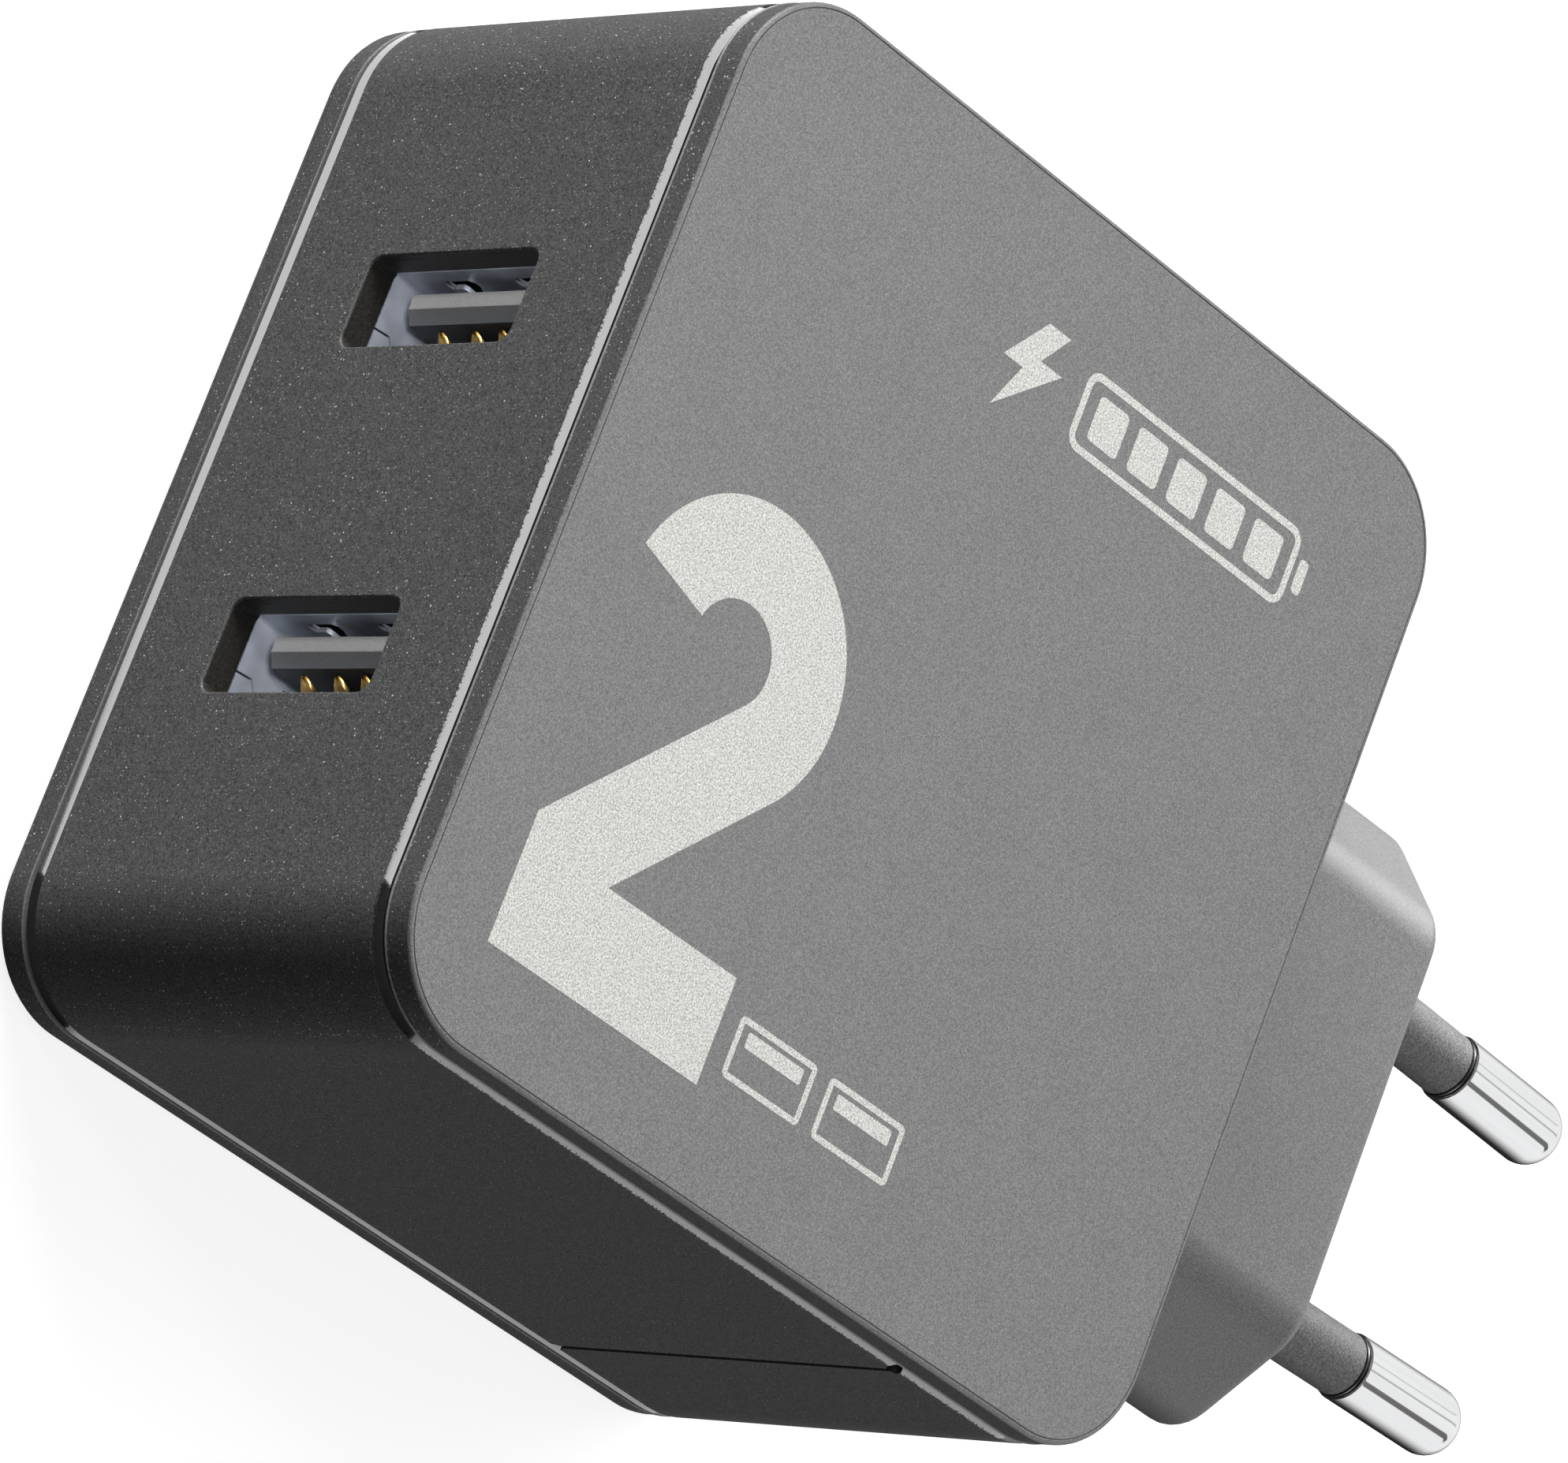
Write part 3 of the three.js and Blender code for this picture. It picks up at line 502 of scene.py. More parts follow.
def gloss_trim():
    """Bare glossy plastic, dusted unevenly by the band's paint where the two meet."""
    look = Look("gloss_trim").set(Metallic=0.0, Specular_IOR_Level=0.55, Coat_Roughness=0.05)
    slow = look.noise(0.5, 3.0, 0.6)
    dust = look.noise(0.14, 3.0, 0.75)
    split = look.node("ShaderNodeSeparateXYZ")
    look.link(look.place, split.inputs["Vector"])
    above = look.math("SUBTRACT", split.outputs["Z"], SHIFT.z + BAND_HIGH)
    below = look.math("SUBTRACT", SHIFT.z + BAND_LOW, split.outputs["Z"])
    from_paint = look.math("MAXIMUM", above, below)
    spray = look.math("MULTIPLY", look.math("SUBTRACT", dust, 0.5), 0.7)
    painted = look.math("LESS_THAN", look.math("ADD", from_paint, spray), 0.08)
    base = look.ramp(slow, [(0.3, grey(0.008)), (0.7, grey(0.018))])
    look.colour(look.blend(painted, base, grey(0.03)))
    look.link(look.math("SUBTRACT", 1.0, painted), look.shader.inputs["Coat Weight"])
    rough = look.math("ADD", look.range(slow, 0.06, 0.16), look.math("MULTIPLY", painted, 0.5))
    look.roughness(rough)
    return look.bump(dust, 0.10, 0.015).material


def print_ink():
    """Slightly warm white ink, grained by the paint under it."""
    look = Look("print_ink").set(Metallic=0.0, Specular_IOR_Level=0.4)
    fine = look.noise(0.10, 3.0, 0.75)
    dark, middle = tinted(0.26, 1.0, 1.0, 0.95), tinted(0.51, 1.0, 1.005, 0.955)
    light = tinted(0.72, 1.0, 1.0, 0.965)
    look.colour(look.ramp(fine, [(0.38, dark), (0.50, middle), (0.62, light)]))
    look.roughness(look.range(fine, 0.42, 0.60))
    return look.bump(fine, 0.4, 0.03).material


def chrome():
    """Bright pin metal, drawn along the pin."""
    look = Look("pin_chrome").set(Metallic=1.0)
    along = look.noise(0.5, 2.0, 0.5, look.stretched((1.0, 0.02, 1.0)))
    dark, light = tinted(0.90, 0.985, 0.99, 1.0), tinted(0.97, 0.985, 0.99, 1.0)
    look.colour(look.ramp(along, [(0.3, dark), (0.7, light)]))
    look.roughness(look.range(along, 0.05, 0.09))
    return look.material


def sleeve_plastic():
    """Coarsely grained grey plastic."""
    look = Look("sleeve_plastic").set(Metallic=0.0, Specular_IOR_Level=0.35)
    fine = look.noise(0.14, 3.0, 0.75)
    stops = [(0.34, grey(0.062)), (0.5, grey(0.130)), (0.66, grey(0.235))]
    look.colour(look.ramp(fine, stops))
    look.roughness(look.range(fine, 0.45, 0.65))
    return look.bump(fine, 0.8, 0.06).material


# A near-black collar where the sleeve meets the pin: painted shade of the step between them.
def sleeve_step_shade_ring():
    look = Look("sleeve_end_black").set(Specular_IOR_Level=0.5)
    fine = look.noise(0.15, 2.0, 0.5)
    look.colour(look.ramp(fine, [(0.3, grey(0.006)), (0.7, grey(0.012))]))
    look.roughness(look.range(fine, 0.25, 0.4))
    return look.material


def nickel():
    """Cool, softly mottled plated steel."""
    look = Look("port_nickel").set(Metallic=0.45)
    broad = look.noise(2.4, 2.0, 0.5)
    fine = look.noise(0.08, 2.0, 0.5)
    look.colour(look.ramp(broad, [(0.3, (0.33, 0.355, 0.415)), (0.7, (0.60, 0.64, 0.73))]))
    look.roughness(look.range(broad, 0.26, 0.42))
    return look.bump(fine, 0.12, 0.01).material


def tongue_plastic():
    look = Look("tongue_plastic").set(Specular_IOR_Level=0.45)
    fine = look.noise(0.10, 3.0, 0.6)
    look.colour(look.ramp(fine, [(0.3, grey(0.24)), (0.7, grey(0.30))]))
    look.roughness(look.range(fine, 0.45, 0.6))
    return look.bump(fine, 0.2, 0.02).material


def gold():
    look = Look("contact_gold").set(Metallic=1.0)
    slow = look.noise(0.5, 2.0, 0.5)
    look.colour(look.ramp(slow, [(0.3, (0.42, 0.25, 0.065)), (0.7, (0.62, 0.40, 0.12))]))
    look.roughness(look.range(slow, 0.18, 0.32))
    return look.bump(slow, 0.1, 0.01).material


def plain_look(name, dark, light, rough, size, metal=0.0):
    """A simple finish: two close colours mottled by noise, with a fine grain."""
    look = Look(name).set(Metallic=metal)
    fine = look.noise(size, 3.0, 0.6)
    look.colour(look.ramp(fine, [(0.3, dark), (0.7, light)]))
    look.roughness(look.range(fine, *rough))
    return look.bump(fine, 0.15, 0.02).material


SATIN = (0.25, 0.4)
SMOOTH = (0.3, 0.45)
MATT = (0.4, 0.6)

LOOKS = {
    "cover": cover_paint(),
    "band": band_paint(),
    "recess_shade": recess_shade_plastic(),
    "gloss": gloss_trim(),
    "ink": print_ink(),
    "chrome": chrome(),
    "sleeve": sleeve_plastic(),
    "ring": sleeve_step_shade_ring(),
    "nickel": nickel(),
    "tongue": tongue_plastic(),
    "gold": gold(),
    # The cover's foot is a lighter grey than the band: a painted highlight along the cover's lower
    # edge.
    "foot": plain_look("cover_foot_painted_highlight", grey(0.15), grey(0.28), (0.45, 0.6), 0.15),
    "board": plain_look("board_mask", (0.008, 0.075, 0.025), (0.014, 0.12, 0.04), SATIN, 0.6),
    "brass": plain_look("strip_brass", (0.58, 0.38, 0.12), (0.72, 0.50, 0.18), SATIN, 0.5, 1.0),
    "ferrite": plain_look("ferrite", grey(0.022), grey(0.040), (0.6, 0.8), 0.15),
    "tape": plain_look("tape_yellow", (0.60, 0.40, 0.02), (0.72, 0.50, 0.04), SMOOTH, 1.5),
    "black": plain_look("moulded_black_and_painted_shade", grey(0.010), grey(0.018), (0.4, 0.55), 0.2),
    "can_dark": plain_look("can_sleeve", (0.012, 0.014, 0.022), (0.02, 0.024, 0.034), SATIN, 0.8),
    "can": plain_look("can_aluminium", grey(0.50), grey(0.62), SATIN, 0.6, 1.0),
    "copper": plain_look(
        "enamelled_copper", (0.42, 0.15, 0.05), (0.58, 0.23, 0.09), SATIN, 0.3, 1.0
    ),
    "fuse": plain_look("fuse_body", (0.04, 0.20, 0.09), (0.06, 0.26, 0.12), MATT, 0.3),
    "film": plain_look("film_yellow", (0.68, 0.46, 0.05), (0.78, 0.55, 0.08), SMOOTH, 1.0),
    "disc": plain_look("disc_blue", (0.02, 0.09, 0.33), (0.03, 0.13, 0.42), SMOOTH, 0.6),
    "sheet": plain_look("fibre_sheet", grey(0.68), grey(0.78), (0.7, 0.9), 0.4),
}


def coat(obj, *looks):
    """Gives the object those materials, in that order."""
    obj.data.materials.clear()
    for look in looks:
        obj.data.materials.append(LOOKS[look])


def enlist(obj, slot, *replaced):
    """Gives a new piece its body and hides the CAD nodes it stands for. slot is not used."""
    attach(obj, "root")
    if replaced:
        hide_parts(*replaced)


def dress(obj, look, slot, *replaced):
    coat(obj, look)
    enlist(obj, slot, *replaced)


# ---------------------------------------------------------------- case


def cover_rim(name, side, edge_round, outer_z, up):
    """A cover's shell: foot in the groove, side wall, rounded edge, and the face plate's seat.

    outer_z is the height of its outer face, and up is 1 for the top cover and -1 for the back one.
    """
    seat = edge_round + PLATE_RIM + FOOT_STEP
    profile = [(0.9, -side - GROOVE_GAP + 0.02), (0.9, -side), (0.10, -side)]
    profile += [(0.02, -side + 0.02), (0.0, -side + 0.06), (0.0, -side + FOOT_TALL)]
    profile += [(FOOT_STEP, -side + FOOT_TOP)]
    profile += [(FOOT_STEP + i, -edge_round + r) for i, r in rounding(edge_round, 7)]
    profile += [(seat - 0.03, 0.0), (seat, -0.03), (seat, -PLATE_DEPTH)]
    skin = Skin()
    skin.loft(case_rings(profile, outer_z, up))
    rim = weighted(skin.object(name, 30))
    coat(rim, "band", "foot", "cover")
    for face in rim.data.polygons:
        rise = up * (face.center.z / MM - SHIFT.z - outer_z)
        # The foot's lighter grey is a painted highlight along the cover's lower edge.
        if rise < -side + FOOT_TOP:
            face.material_index = 1
        # The rounding takes the lighter cover paint: a painted highlight line along the cover's
        # edge; the side wall keeps the band's darker paint.
        elif rise > -0.75 * edge_round:
            face.material_index = 2
    return rim


def cover_plate(name, edge_round, outer_z, up):
    """The flat face plate that lies in a cover's rim, with a hairline gap round it."""
    start = edge_round + PLATE_RIM + PLATE_GAP + FOOT_STEP
    ease = 0.05
    profile = [(start, -PLATE_DEPTH - 0.2), (start, -ease)]
    profile += [(start + i, -ease + r) for i, r in rounding(ease, 3)]
    skin = Skin()
    skin.loft(case_rings(profile, outer_z, up))
    return weighted(skin.object(name, 40))


top_side = THICK - BAND_HIGH - GROOVE_STRIP - GROOVE_GAP
back_side = BAND_LOW - GROOVE_STRIP - GROOVE_GAP
for end, side, edge_round, outer_z, up in (
    ("top", top_side, TOP_ROUND, THICK, 1),
    ("back", back_side, BACK_ROUND, 0.0, -1),
):
    node = end + "_cover"
    enlist(cover_rim("cover_" + end, side, edge_round, outer_z, up), "cover_grey", node)
    plate = cover_plate("cover_%s_plate" % end, edge_round, outer_z, up)
    dress(plate, "cover", "cover_grey", node)


def trim_object(name, z0):
    """The glossy strip in a groove: a slanting, slightly hollow face below a deep channel."""
    buried = WALL - 0.1
    slope = math.tan(math.radians(TRIM_TILT))
    profile = [(buried, z0), (0.05, z0)]
    for k in range(7):
        t = k / 6
        bow = TRIM_BOW * math.sin(math.pi * t)
        profile.append((0.03 + slope * TRIM_RISE * t - bow, z0 + 0.03 + TRIM_RISE * t))
    deep = profile[-1][0] + CHANNEL_DEPTH
    profile += [(deep, z0 + TRIM_RISE + 0.06), (deep, z0 + TRIM_TALL), (buried, z0 + TRIM_TALL)]
    skin = Skin()
    skin.loft(case_rings(profile), loop=True)
    return skin.object(name, 50)


trim_top = trim_object("trim_top", BAND_HIGH + TRIM_OVERLAP)
trim_back = trim_object("trim_back", BAND_LOW - GROOVE_STRIP - TRIM_OVERLAP)


def band_path(front, inset):
    """The open outline of one band piece, from one side of the seam round to the other."""
    radius = RADIUS - inset
    half = WIDTH / 2 - inset
    if front:
        points = [(-half, SEAM_FRONT)]
        points += arc(-half + radius, inset + radius, radius, 180, 270, CASE_STEPS)
        points += arc(half - radius, inset + radius, radius, 270, 360, CASE_STEPS)
        points += [(half, SEAM_FRONT)]
    else:
        far = LENGTH - inset
        points = [(half, SEAM_BACK)]
        points += arc(half - radius, far - radius, radius, 0, 90, CASE_STEPS)
        points += arc(-half + radius, far - radius, radius, 90, 180, CASE_STEPS)
        points += [(-half, SEAM_BACK)]
    return points


def band_object(name, front):
    """One shell of the band, with eased rims."""
    ease = 0.07
    part_way = 0.3 * ease
    profile = [(ease, BAND_LOW), (part_way, BAND_LOW + part_way), (0.0, BAND_LOW + ease)]
    profile += [(0.0, BAND_HIGH - ease), (part_way, BAND_HIGH - part_way), (ease, BAND_HIGH)]
    profile += [(WALL, BAND_HIGH), (WALL, BAND_LOW)]
    skin = Skin()
    rings = [
        skin.ring([(x, y, z) for x, y in band_path(front, inset)]) for inset, z in profile
    ]
    for a, b in zip(rings, rings[1:] + rings[:1]):
        skin.bridge(a, b, closed=False)
    skin.cap([ring[0] for ring in rings])
    skin.cap([ring[-1] for ring in rings], flip=True)
    return skin.object(name, BAND_SHARP)


def port_cutter(x):
    """The hole for a socket: an eased mouth whose corners tighten towards the steel shell."""
    stations = [(PORT_EASE, -1.0, PORT_CORNER)]
    stations += [(PORT_EASE - i, r, PORT_CORNER) for r, i in rounding(PORT_EASE, 5)]
    stations += [(0.0, WALL - 0.1, PORT_CORNER_INSIDE), (0.0, 4.0, PORT_CORNER_INSIDE)]
    skin = Skin()
    rings = []
    for grow, y, corner in stations:
        wide, high = PORT_SHORT + 2 * grow, PORT_LONG + 2 * grow
        outline = rounded_rectangle(wide, high, corner + grow, x, MID_Z, 8)
        rings.append([(a, y, b) for a, b in outline])
    skin.loft(rings)
    return skin.cutter()


def seam_notch(z):
    """A small round bite where the seam meets a rim of the band."""
    outline = arc(SEAM_MIDDLE, z, NOTCH_RADIUS, 0, 345, 23)
    skin = Skin()
    skin.loft([[(x, a, b) for a, b in outline] for x in (-WIDTH, WIDTH)])
    return skin.cutter()


def boss_outline(grow):
    """The plug's six-sided outline in X and Z."""
    top = BOSS_TALL / 2
    tip = BOSS_WIDE / 2 + TIP_R * (math.sqrt(2) - 1)
    crease = tip - top
    corners = [
        (tip, 0.0, TIP_R),
        (crease, top, CREASE_R),
        (-crease, top, CREASE_R),
        (-tip, 0.0, TIP_R),
        (-crease, -top, CREASE_R),
        (crease, -top, CREASE_R),
    ]
    return [(x, z + MID_Z) for x, z in soft_polygon(corners, grow, 8)]


def plug_opening():
    """The hole in the rear wall that the plug body comes through, with an eased edge."""
    ease, clear = 0.15, 0.05
    stations = [(ease, LENGTH + 1.0)]
    stations += [(ease - i, LENGTH - r) for r, i in rounding(ease, 5)]
    stations += [(0.0, LENGTH - 4.0)]
    skin = Skin()
    skin.loft(section_rings(lambda grow: boss_outline(grow + clear), stations))
    return skin.cutter()


for trim, rim_z, node in (
    (trim_top, BAND_HIGH, "top_trim_ring"),
    (trim_back, BAND_LOW, "back_trim_ring"),
):
    carve(trim, [seam_notch(rim_z)], 50)
    dress(weighted(trim), "gloss", "gloss_black", node)

front_piece = band_object("band_front", True)
notches = [seam_notch(BAND_LOW), seam_notch(BAND_HIGH)]
carve(front_piece, [port_cutter(x) for x in PORT_X] + notches, BAND_SHARP)
coat(weighted(front_piece), "band", "recess_shade")
enlist(front_piece, "band_anthracite", "front_shell")
# Faces inside the port mouths take the darker look: painted shade in the recesses.
for face in front_piece.data.polygons:
    x, y, z = face.center / MM - SHIFT
    if RECESS_SHADE_FROM < y < RECESS_SHADE_TO and abs(x) < RECESS_SHADE_REACH_X and abs(z - MID_Z) < RECESS_SHADE_REACH_Z:
        face.material_index = 1

# The tongues inside the seam, which close it
for side, label in ((-1, "left"), (1, "right")):
    outer = side * (WIDTH / 2 - WALL - 0.02)
    inner = side * (WIDTH / 2 - WALL - 0.8)
    low, high = BAND_LOW + 0.5, BAND_HIGH - 0.5
    rings = []
    for along, shrink in ((-2.4, 0.2), (-2.2, 0.0), (2.2, 0.0), (2.4, 0.2)):
        y = SEAM_MIDDLE + along
        eased = inner + side * shrink
        rings.append([
            (outer, y, low + shrink), (eased, y, low + shrink),
            (eased, y, high - shrink), (outer, y, high - shrink),
        ])
    skin = Skin()
    skin.loft(rings)
    seam_tongue = skin.object("band_seam_tongue_" + label, 30)
    # Their dark colour is painted shade inside the seam gap.
    dress(seam_tongue, "recess_shade", "band_anthracite", "front_shell")

rear_piece = band_object("band_rear", False)
notches = [seam_notch(BAND_LOW), seam_notch(BAND_HIGH)]
carve(rear_piece, [plug_opening()] + notches, BAND_SHARP)
dress(weighted(rear_piece), "band", "band_anthracite", "rear_shell")

# ---------------------------------------------------------------- plug


def pin_point(side, radius, angle, along):
    """A point about one pin's leaning axis, along millimetres out of the plug's end face."""
    x = radius * math.cos(angle)
    z = radius * math.sin(angle)
    axis_x = -side * math.sin(LEAN) * along + x * math.cos(LEAN)
    axis_y = math.cos(LEAN) * along + side * x * math.sin(LEAN)
    return (side * PIN_SPACING / 2 + axis_x, FACE + axis_y, MID_Z + z)


def pin_rings(side, profile, steps):
    """Rings about one pin's axis from (radius, along) pairs."""
    turns = [2 * math.pi * k / steps for k in range(steps)]
    return [[pin_point(side, radius, turn, along) for turn in turns] for radius, along in profile]


def turned_object(name, side, profile, loop=False):
    skin = Skin()
    skin.loft(pin_rings(side, profile, 64), loop=loop)
    return weighted(skin.object(name, 35))


def boss_object():
    """The plug body: a hidden flange behind the rear wall, and the six-sided block."""
    flange = 1.6
    start = LENGTH - WALL - 1.55
    stations = [(flange, start), (flange, start + 1.5), (0.0, start + 1.5)]
    stations += [(-i, FACE - RIM_ROUND + r) for i, r in rounding(RIM_ROUND, 7)]
    skin = Skin()
    skin.loft(section_rings(boss_outline, stations))
    return skin.object("plug_body", 40)


def sleeve_hole(side):
    """The hole for a sleeve in the plug's end face, with an eased edge."""
    ease = 0.12
    radius = SLEEVE_RADIUS + 0.06
    profile = [(radius + ease, 1.0)]
    profile += [(radius + ease - i, -r) for r, i in rounding(ease, 4)]
    profile += [(radius, -4.0)]
    skin = Skin()
    skin.loft(pin_rings(side, profile, 40))
    return skin.cutter()


def pin_profile():
    """The metal: a thin core inside the sleeve, then full width, with a domed end."""
    shoulder = SLEEVE_LONG + 0.05
    profile = [(0.6, -7.5), (PIN_CORE - 0.3, -7.5), (PIN_CORE, -7.2), (PIN_CORE, shoulder)]
    profile += [(PIN_RADIUS - 0.16, shoulder), (PIN_RADIUS - 0.05, shoulder + 0.04)]
    profile += [(PIN_RADIUS, shoulder + 0.17)]
    for k in range(13):
        a = (math.pi / 2) * k / 12
        radius = PIN_RADIUS - PIN_END + PIN_END * math.cos(a)
        profile.append((radius, PIN_LONG - PIN_END + PIN_END * math.sin(a)))
    return profile


boss_piece = boss_object()
carve(boss_piece, [sleeve_hole(-1), sleeve_hole(1)], 40)
dress(weighted(boss_piece), "cover", "cover_grey", "plug_boss")

SLEEVE_BORE = PIN_CORE + 0.04
SLEEVE_END = SLEEVE_LONG - 0.22
SLEEVE_PROFILE = [
    (SLEEVE_BORE, -2.9), (SLEEVE_RADIUS, -2.9), (SLEEVE_RADIUS, 3.0), (SLEEVE_RADIUS + 0.01, 6.0),
    (SLEEVE_RADIUS, SLEEVE_END - 0.04), (SLEEVE_RADIUS - 0.04, SLEEVE_END),
    (SLEEVE_BORE, SLEEVE_END),
]
STEP_SHADE_PROFILE = [
    (SLEEVE_BORE, SLEEVE_LONG - 0.20), (SLEEVE_RADIUS + 0.01, SLEEVE_LONG - 0.20),
    (SLEEVE_RADIUS + 0.05, SLEEVE_LONG - 0.15), (SLEEVE_RADIUS + 0.05, SLEEVE_LONG - 0.04),
    (SLEEVE_RADIUS + 0.01, SLEEVE_LONG + 0.01), (SLEEVE_BORE, SLEEVE_LONG + 0.01),
]
for label, side in (("left", -1), ("right", 1)):
    metal = turned_object("pin_metal_" + label, side, pin_profile())
    dress(metal, "chrome", "pin_chrome", "pin_" + label)
    sleeve = turned_object("pin_cover_" + label, side, SLEEVE_PROFILE, loop=True)
    dress(sleeve, "sleeve", "sleeve_grey", "pin_sleeve_" + label)
    # The near-black collar is painted shade at the sleeve's step.
    ring = turned_object("pin_ring_" + label, side, STEP_SHADE_PROFILE, loop=True)
    dress(ring, "ring", "sleeve_grey")

# ---------------------------------------------------------------- USB ports


def path_strip(points, wide):
    """The outline of a thin line of constant width along an open path."""
    left, right = [], []
    for i, p in enumerate(points):
        a = Vector(points[max(i - 1, 0)])
        b = Vector(points[min(i + 1, len(points) - 1)])
        d = (b - a).normalized()
        out = Vector((-d.y, d.x)) * wide / 2
        left.append(Vector(p) + out)
        right.append(Vector(p) - out)
    return [tuple(p) for p in left + right[::-1]]


# A spring window, from its middle: (across, along) in its plane
WINDOW = [
    (-0.85, 0.0), (0.85, 0.0), (1.1, 0.25), (1.1, 0.7), (0.85, 1.1), (0.85, 5.6),
    (-0.85, 5.6), (-0.85, 1.1), (-1.1, 0.7), (-1.1, 0.25),
]
# The joint of the drawn sheet on a shell's short sides: (along, across)
SHEET_JOINT = [(0.0, 0.55), (1.5, 0.45), (1.9, 1.0), (3.2, 0.7), (3.6, 0.0), (5.5, 0.05)]


def steel_shell(x, name):
    """The drawn steel tube of a socket: rolled front edge, spring windows and sheet joint."""

    def outline(grow):
        wide, high = SHELL_SHORT + 2 * grow, PORT_LONG + 2 * grow
        return rounded_rectangle(wide, high, SHELL_CORNER + grow, x, MID_Z, 8)

    ease = 0.09
    stations = [(0.0, SHELL_BACK), (0.0, SHELL_FRONT + 0.5), (0.0, SHELL_FRONT + ease)]
    stations += [(ease, SHELL_FRONT), (SHEET - ease, SHELL_FRONT)]
    stations += [(SHEET, SHELL_FRONT + ease), (SHEET, SHELL_BACK)]
    skin = Skin()
    skin.loft(section_rings(outline, stations), loop=True)
    shell = skin.object(name, 40)
    cutters = []
    for z in (-WINDOW_Z, WINDOW_Z):
        for side in (-1, 1):
            wall = x + side * SHELL_SHORT / 2
            skin = Skin()
            skin.loft([
                [(u, WINDOW_FRONT + b, MID_Z + z + a) for a, b in WINDOW]
                for u in sorted((wall - 0.2 * side, wall + 0.8 * side))
            ])
            cutters.append(skin.cutter())
    strip = path_strip([(SHELL_FRONT - 0.3 + a, x + b) for a, b in SHEET_JOINT], 0.13)
    for side in (-1, 1):
        wall = MID_Z + side * PORT_LONG / 2
        skin = Skin()
        skin.loft([[(b, a, wall + side * u) for a, b in strip] for u in (-0.2, 0.8)])
        cutters.append(skin.cutter())
    carve(shell, cutters, 40)
    return weighted(shell)


# A spring finger from its root to its tip: (along, bent inward, half width)
FINGER = (
    (5.7, 0.0, 0.6), (4.2, 0.02, 0.6), (3.0, 0.16, 0.6), (1.8, 0.34, 0.6),
    (1.1, 0.42, 0.6), (0.7, 0.38, 0.56), (0.45, 0.32, 0.44), (0.32, 0.28, 0.28),
)


def spring_fingers(x, name):
    """The four spring fingers bent inward in the windows of a socket's steel shell."""
    skin = Skin()
    thick = SHEET * 0.42
    for z in (-WINDOW_Z, WINDOW_Z):
        for side in (-1, 1):
            wall = x + side * (SHELL_SHORT / 2 + SHEET / 2)
            rings = []
            for along, inward, half in FINGER:
                y = WINDOW_FRONT + along
                u = wall - side * inward
                low, high = MID_Z + z - half, MID_Z + z + half
                rings.append([
                    (u - thick, y, low), (u + thick, y, low),
                    (u + thick, y, high), (u - thick, y, high),
                ])
            skin.loft(rings)
    return skin.object(name, 30)


# The tongue's front end: (inset of its near face, of its far face, of its ends, y)
TONGUE_STATIONS = (
    (0.08, 0.68, 0.32, TONGUE_FRONT),
    (0.02, 0.63, 0.26, TONGUE_FRONT + 0.03),
    (0.0, 0.60, 0.22, TONGUE_FRONT + 0.07),
    (0.0, 0.03, 0.03, TONGUE_FRONT + TONGUE_CHAMFER),
    (0.0, 0.0, 0.0, TONGUE_FRONT + TONGUE_CHAMFER + 0.08),
    (0.0, 0.0, 0.0, BLOCK_FRONT),
)


def tongue_object(x, name):
    """The plastic tongue: chamfered front end, a contact face painted black as painted shade, and
    the block behind it.
    """
    near = x - SHELL_SHORT / 2 + TONGUE_GAP
    far = near + TONGUE_THICK
    rings = []
    for near_in, far_in, end, y in TONGUE_STATIONS:
        wide, high = TONGUE_THICK - near_in - far_in, TONGUE_WIDE - 2 * end
        centre = (near + near_in + far - far_in) / 2
        rings.append([(a, y, b) for a, b in rounded_rectangle(wide, high, 0.06, centre, MID_Z, 3)])
    block = rounded_rectangle(SHELL_SHORT - 0.1, PORT_LONG - 0.1, 0.3, x, MID_Z, 3)
    rings += [[(a, y, b) for a, b in block] for y in (BLOCK_FRONT, SHELL_BACK + 0.05)]
    skin = Skin()
    skin.loft(rings)
    piece = weighted(skin.object(name, 30))
    coat(piece, "tongue", "black")
    # Faces that look +X are painted black: painted shade on the unlit contact side.
    for face in piece.data.polygons:
        if face.normal.x > 0.9 and face.center.x / MM - SHIFT.x > near:
            face.material_index = 1
    return piece


# A contact from the block to its point: (along, bowed outward, share of its width)
CONTACT = (
    (8.4, 0.14, 0.9), (6.6, 0.14, 0.9), (5.6, 0.2, 0.9), (4.6, 0.42, 0.95), (3.8, 0.70, 1.0),
    (3.1, 0.88, 1.0), (2.6, 0.94, 1.0), (2.2, 0.90, 1.0), (1.9, 0.78, 0.96), (1.6, 0.58, 0.8),
    (1.35, 0.38, 0.56), (1.15, 0.22, 0.3), (1.05, 0.14, 0.1),
)


def contact_object(x, z, name):
    """A gold spring: it comes out of the block, bows off the tongue and dips to its point."""
    far = x - SHELL_SHORT / 2 + TONGUE_GAP + TONGUE_THICK
    half_width, thick = 0.56, 0.10
    rings = []
    for along, bow, share in CONTACT:
        y, u, h = TONGUE_FRONT + along, far + bow, half_width * share
        rings.append([
            (u - thick, y, z - h), (u + thick * 0.6, y, z - h), (u + thick, y, z - h * 0.8),
            (u + thick, y, z + h * 0.8), (u + thick * 0.6, y, z + h), (u - thick, y, z + h),
        ])
    skin = Skin()
    skin.loft(rings)
    return skin.object(name, 45)


for index, x in enumerate(PORT_X, start=1):
    port = "usb_%d_" % index
    shell = steel_shell(x, "port_shell_%d" % index)
    dress(shell, "nickel", "nickel_steel", port + "shell")
    dress(spring_fingers(x, "port_tabs_%d" % index), "nickel", "nickel_steel")
    enlist(tongue_object(x, "port_tongue_%d" % index), "insulator_grey", port + "tongue")
    for k, z in enumerate(CONTACT_Z, start=1):
        contact = contact_object(x, MID_Z + z, "port_contact_%d_%d" % (index, k))
        dress(contact, "gold", "contact_gold", port + "contact_%d" % k)

# ---------------------------------------------------------------- print on the top cover


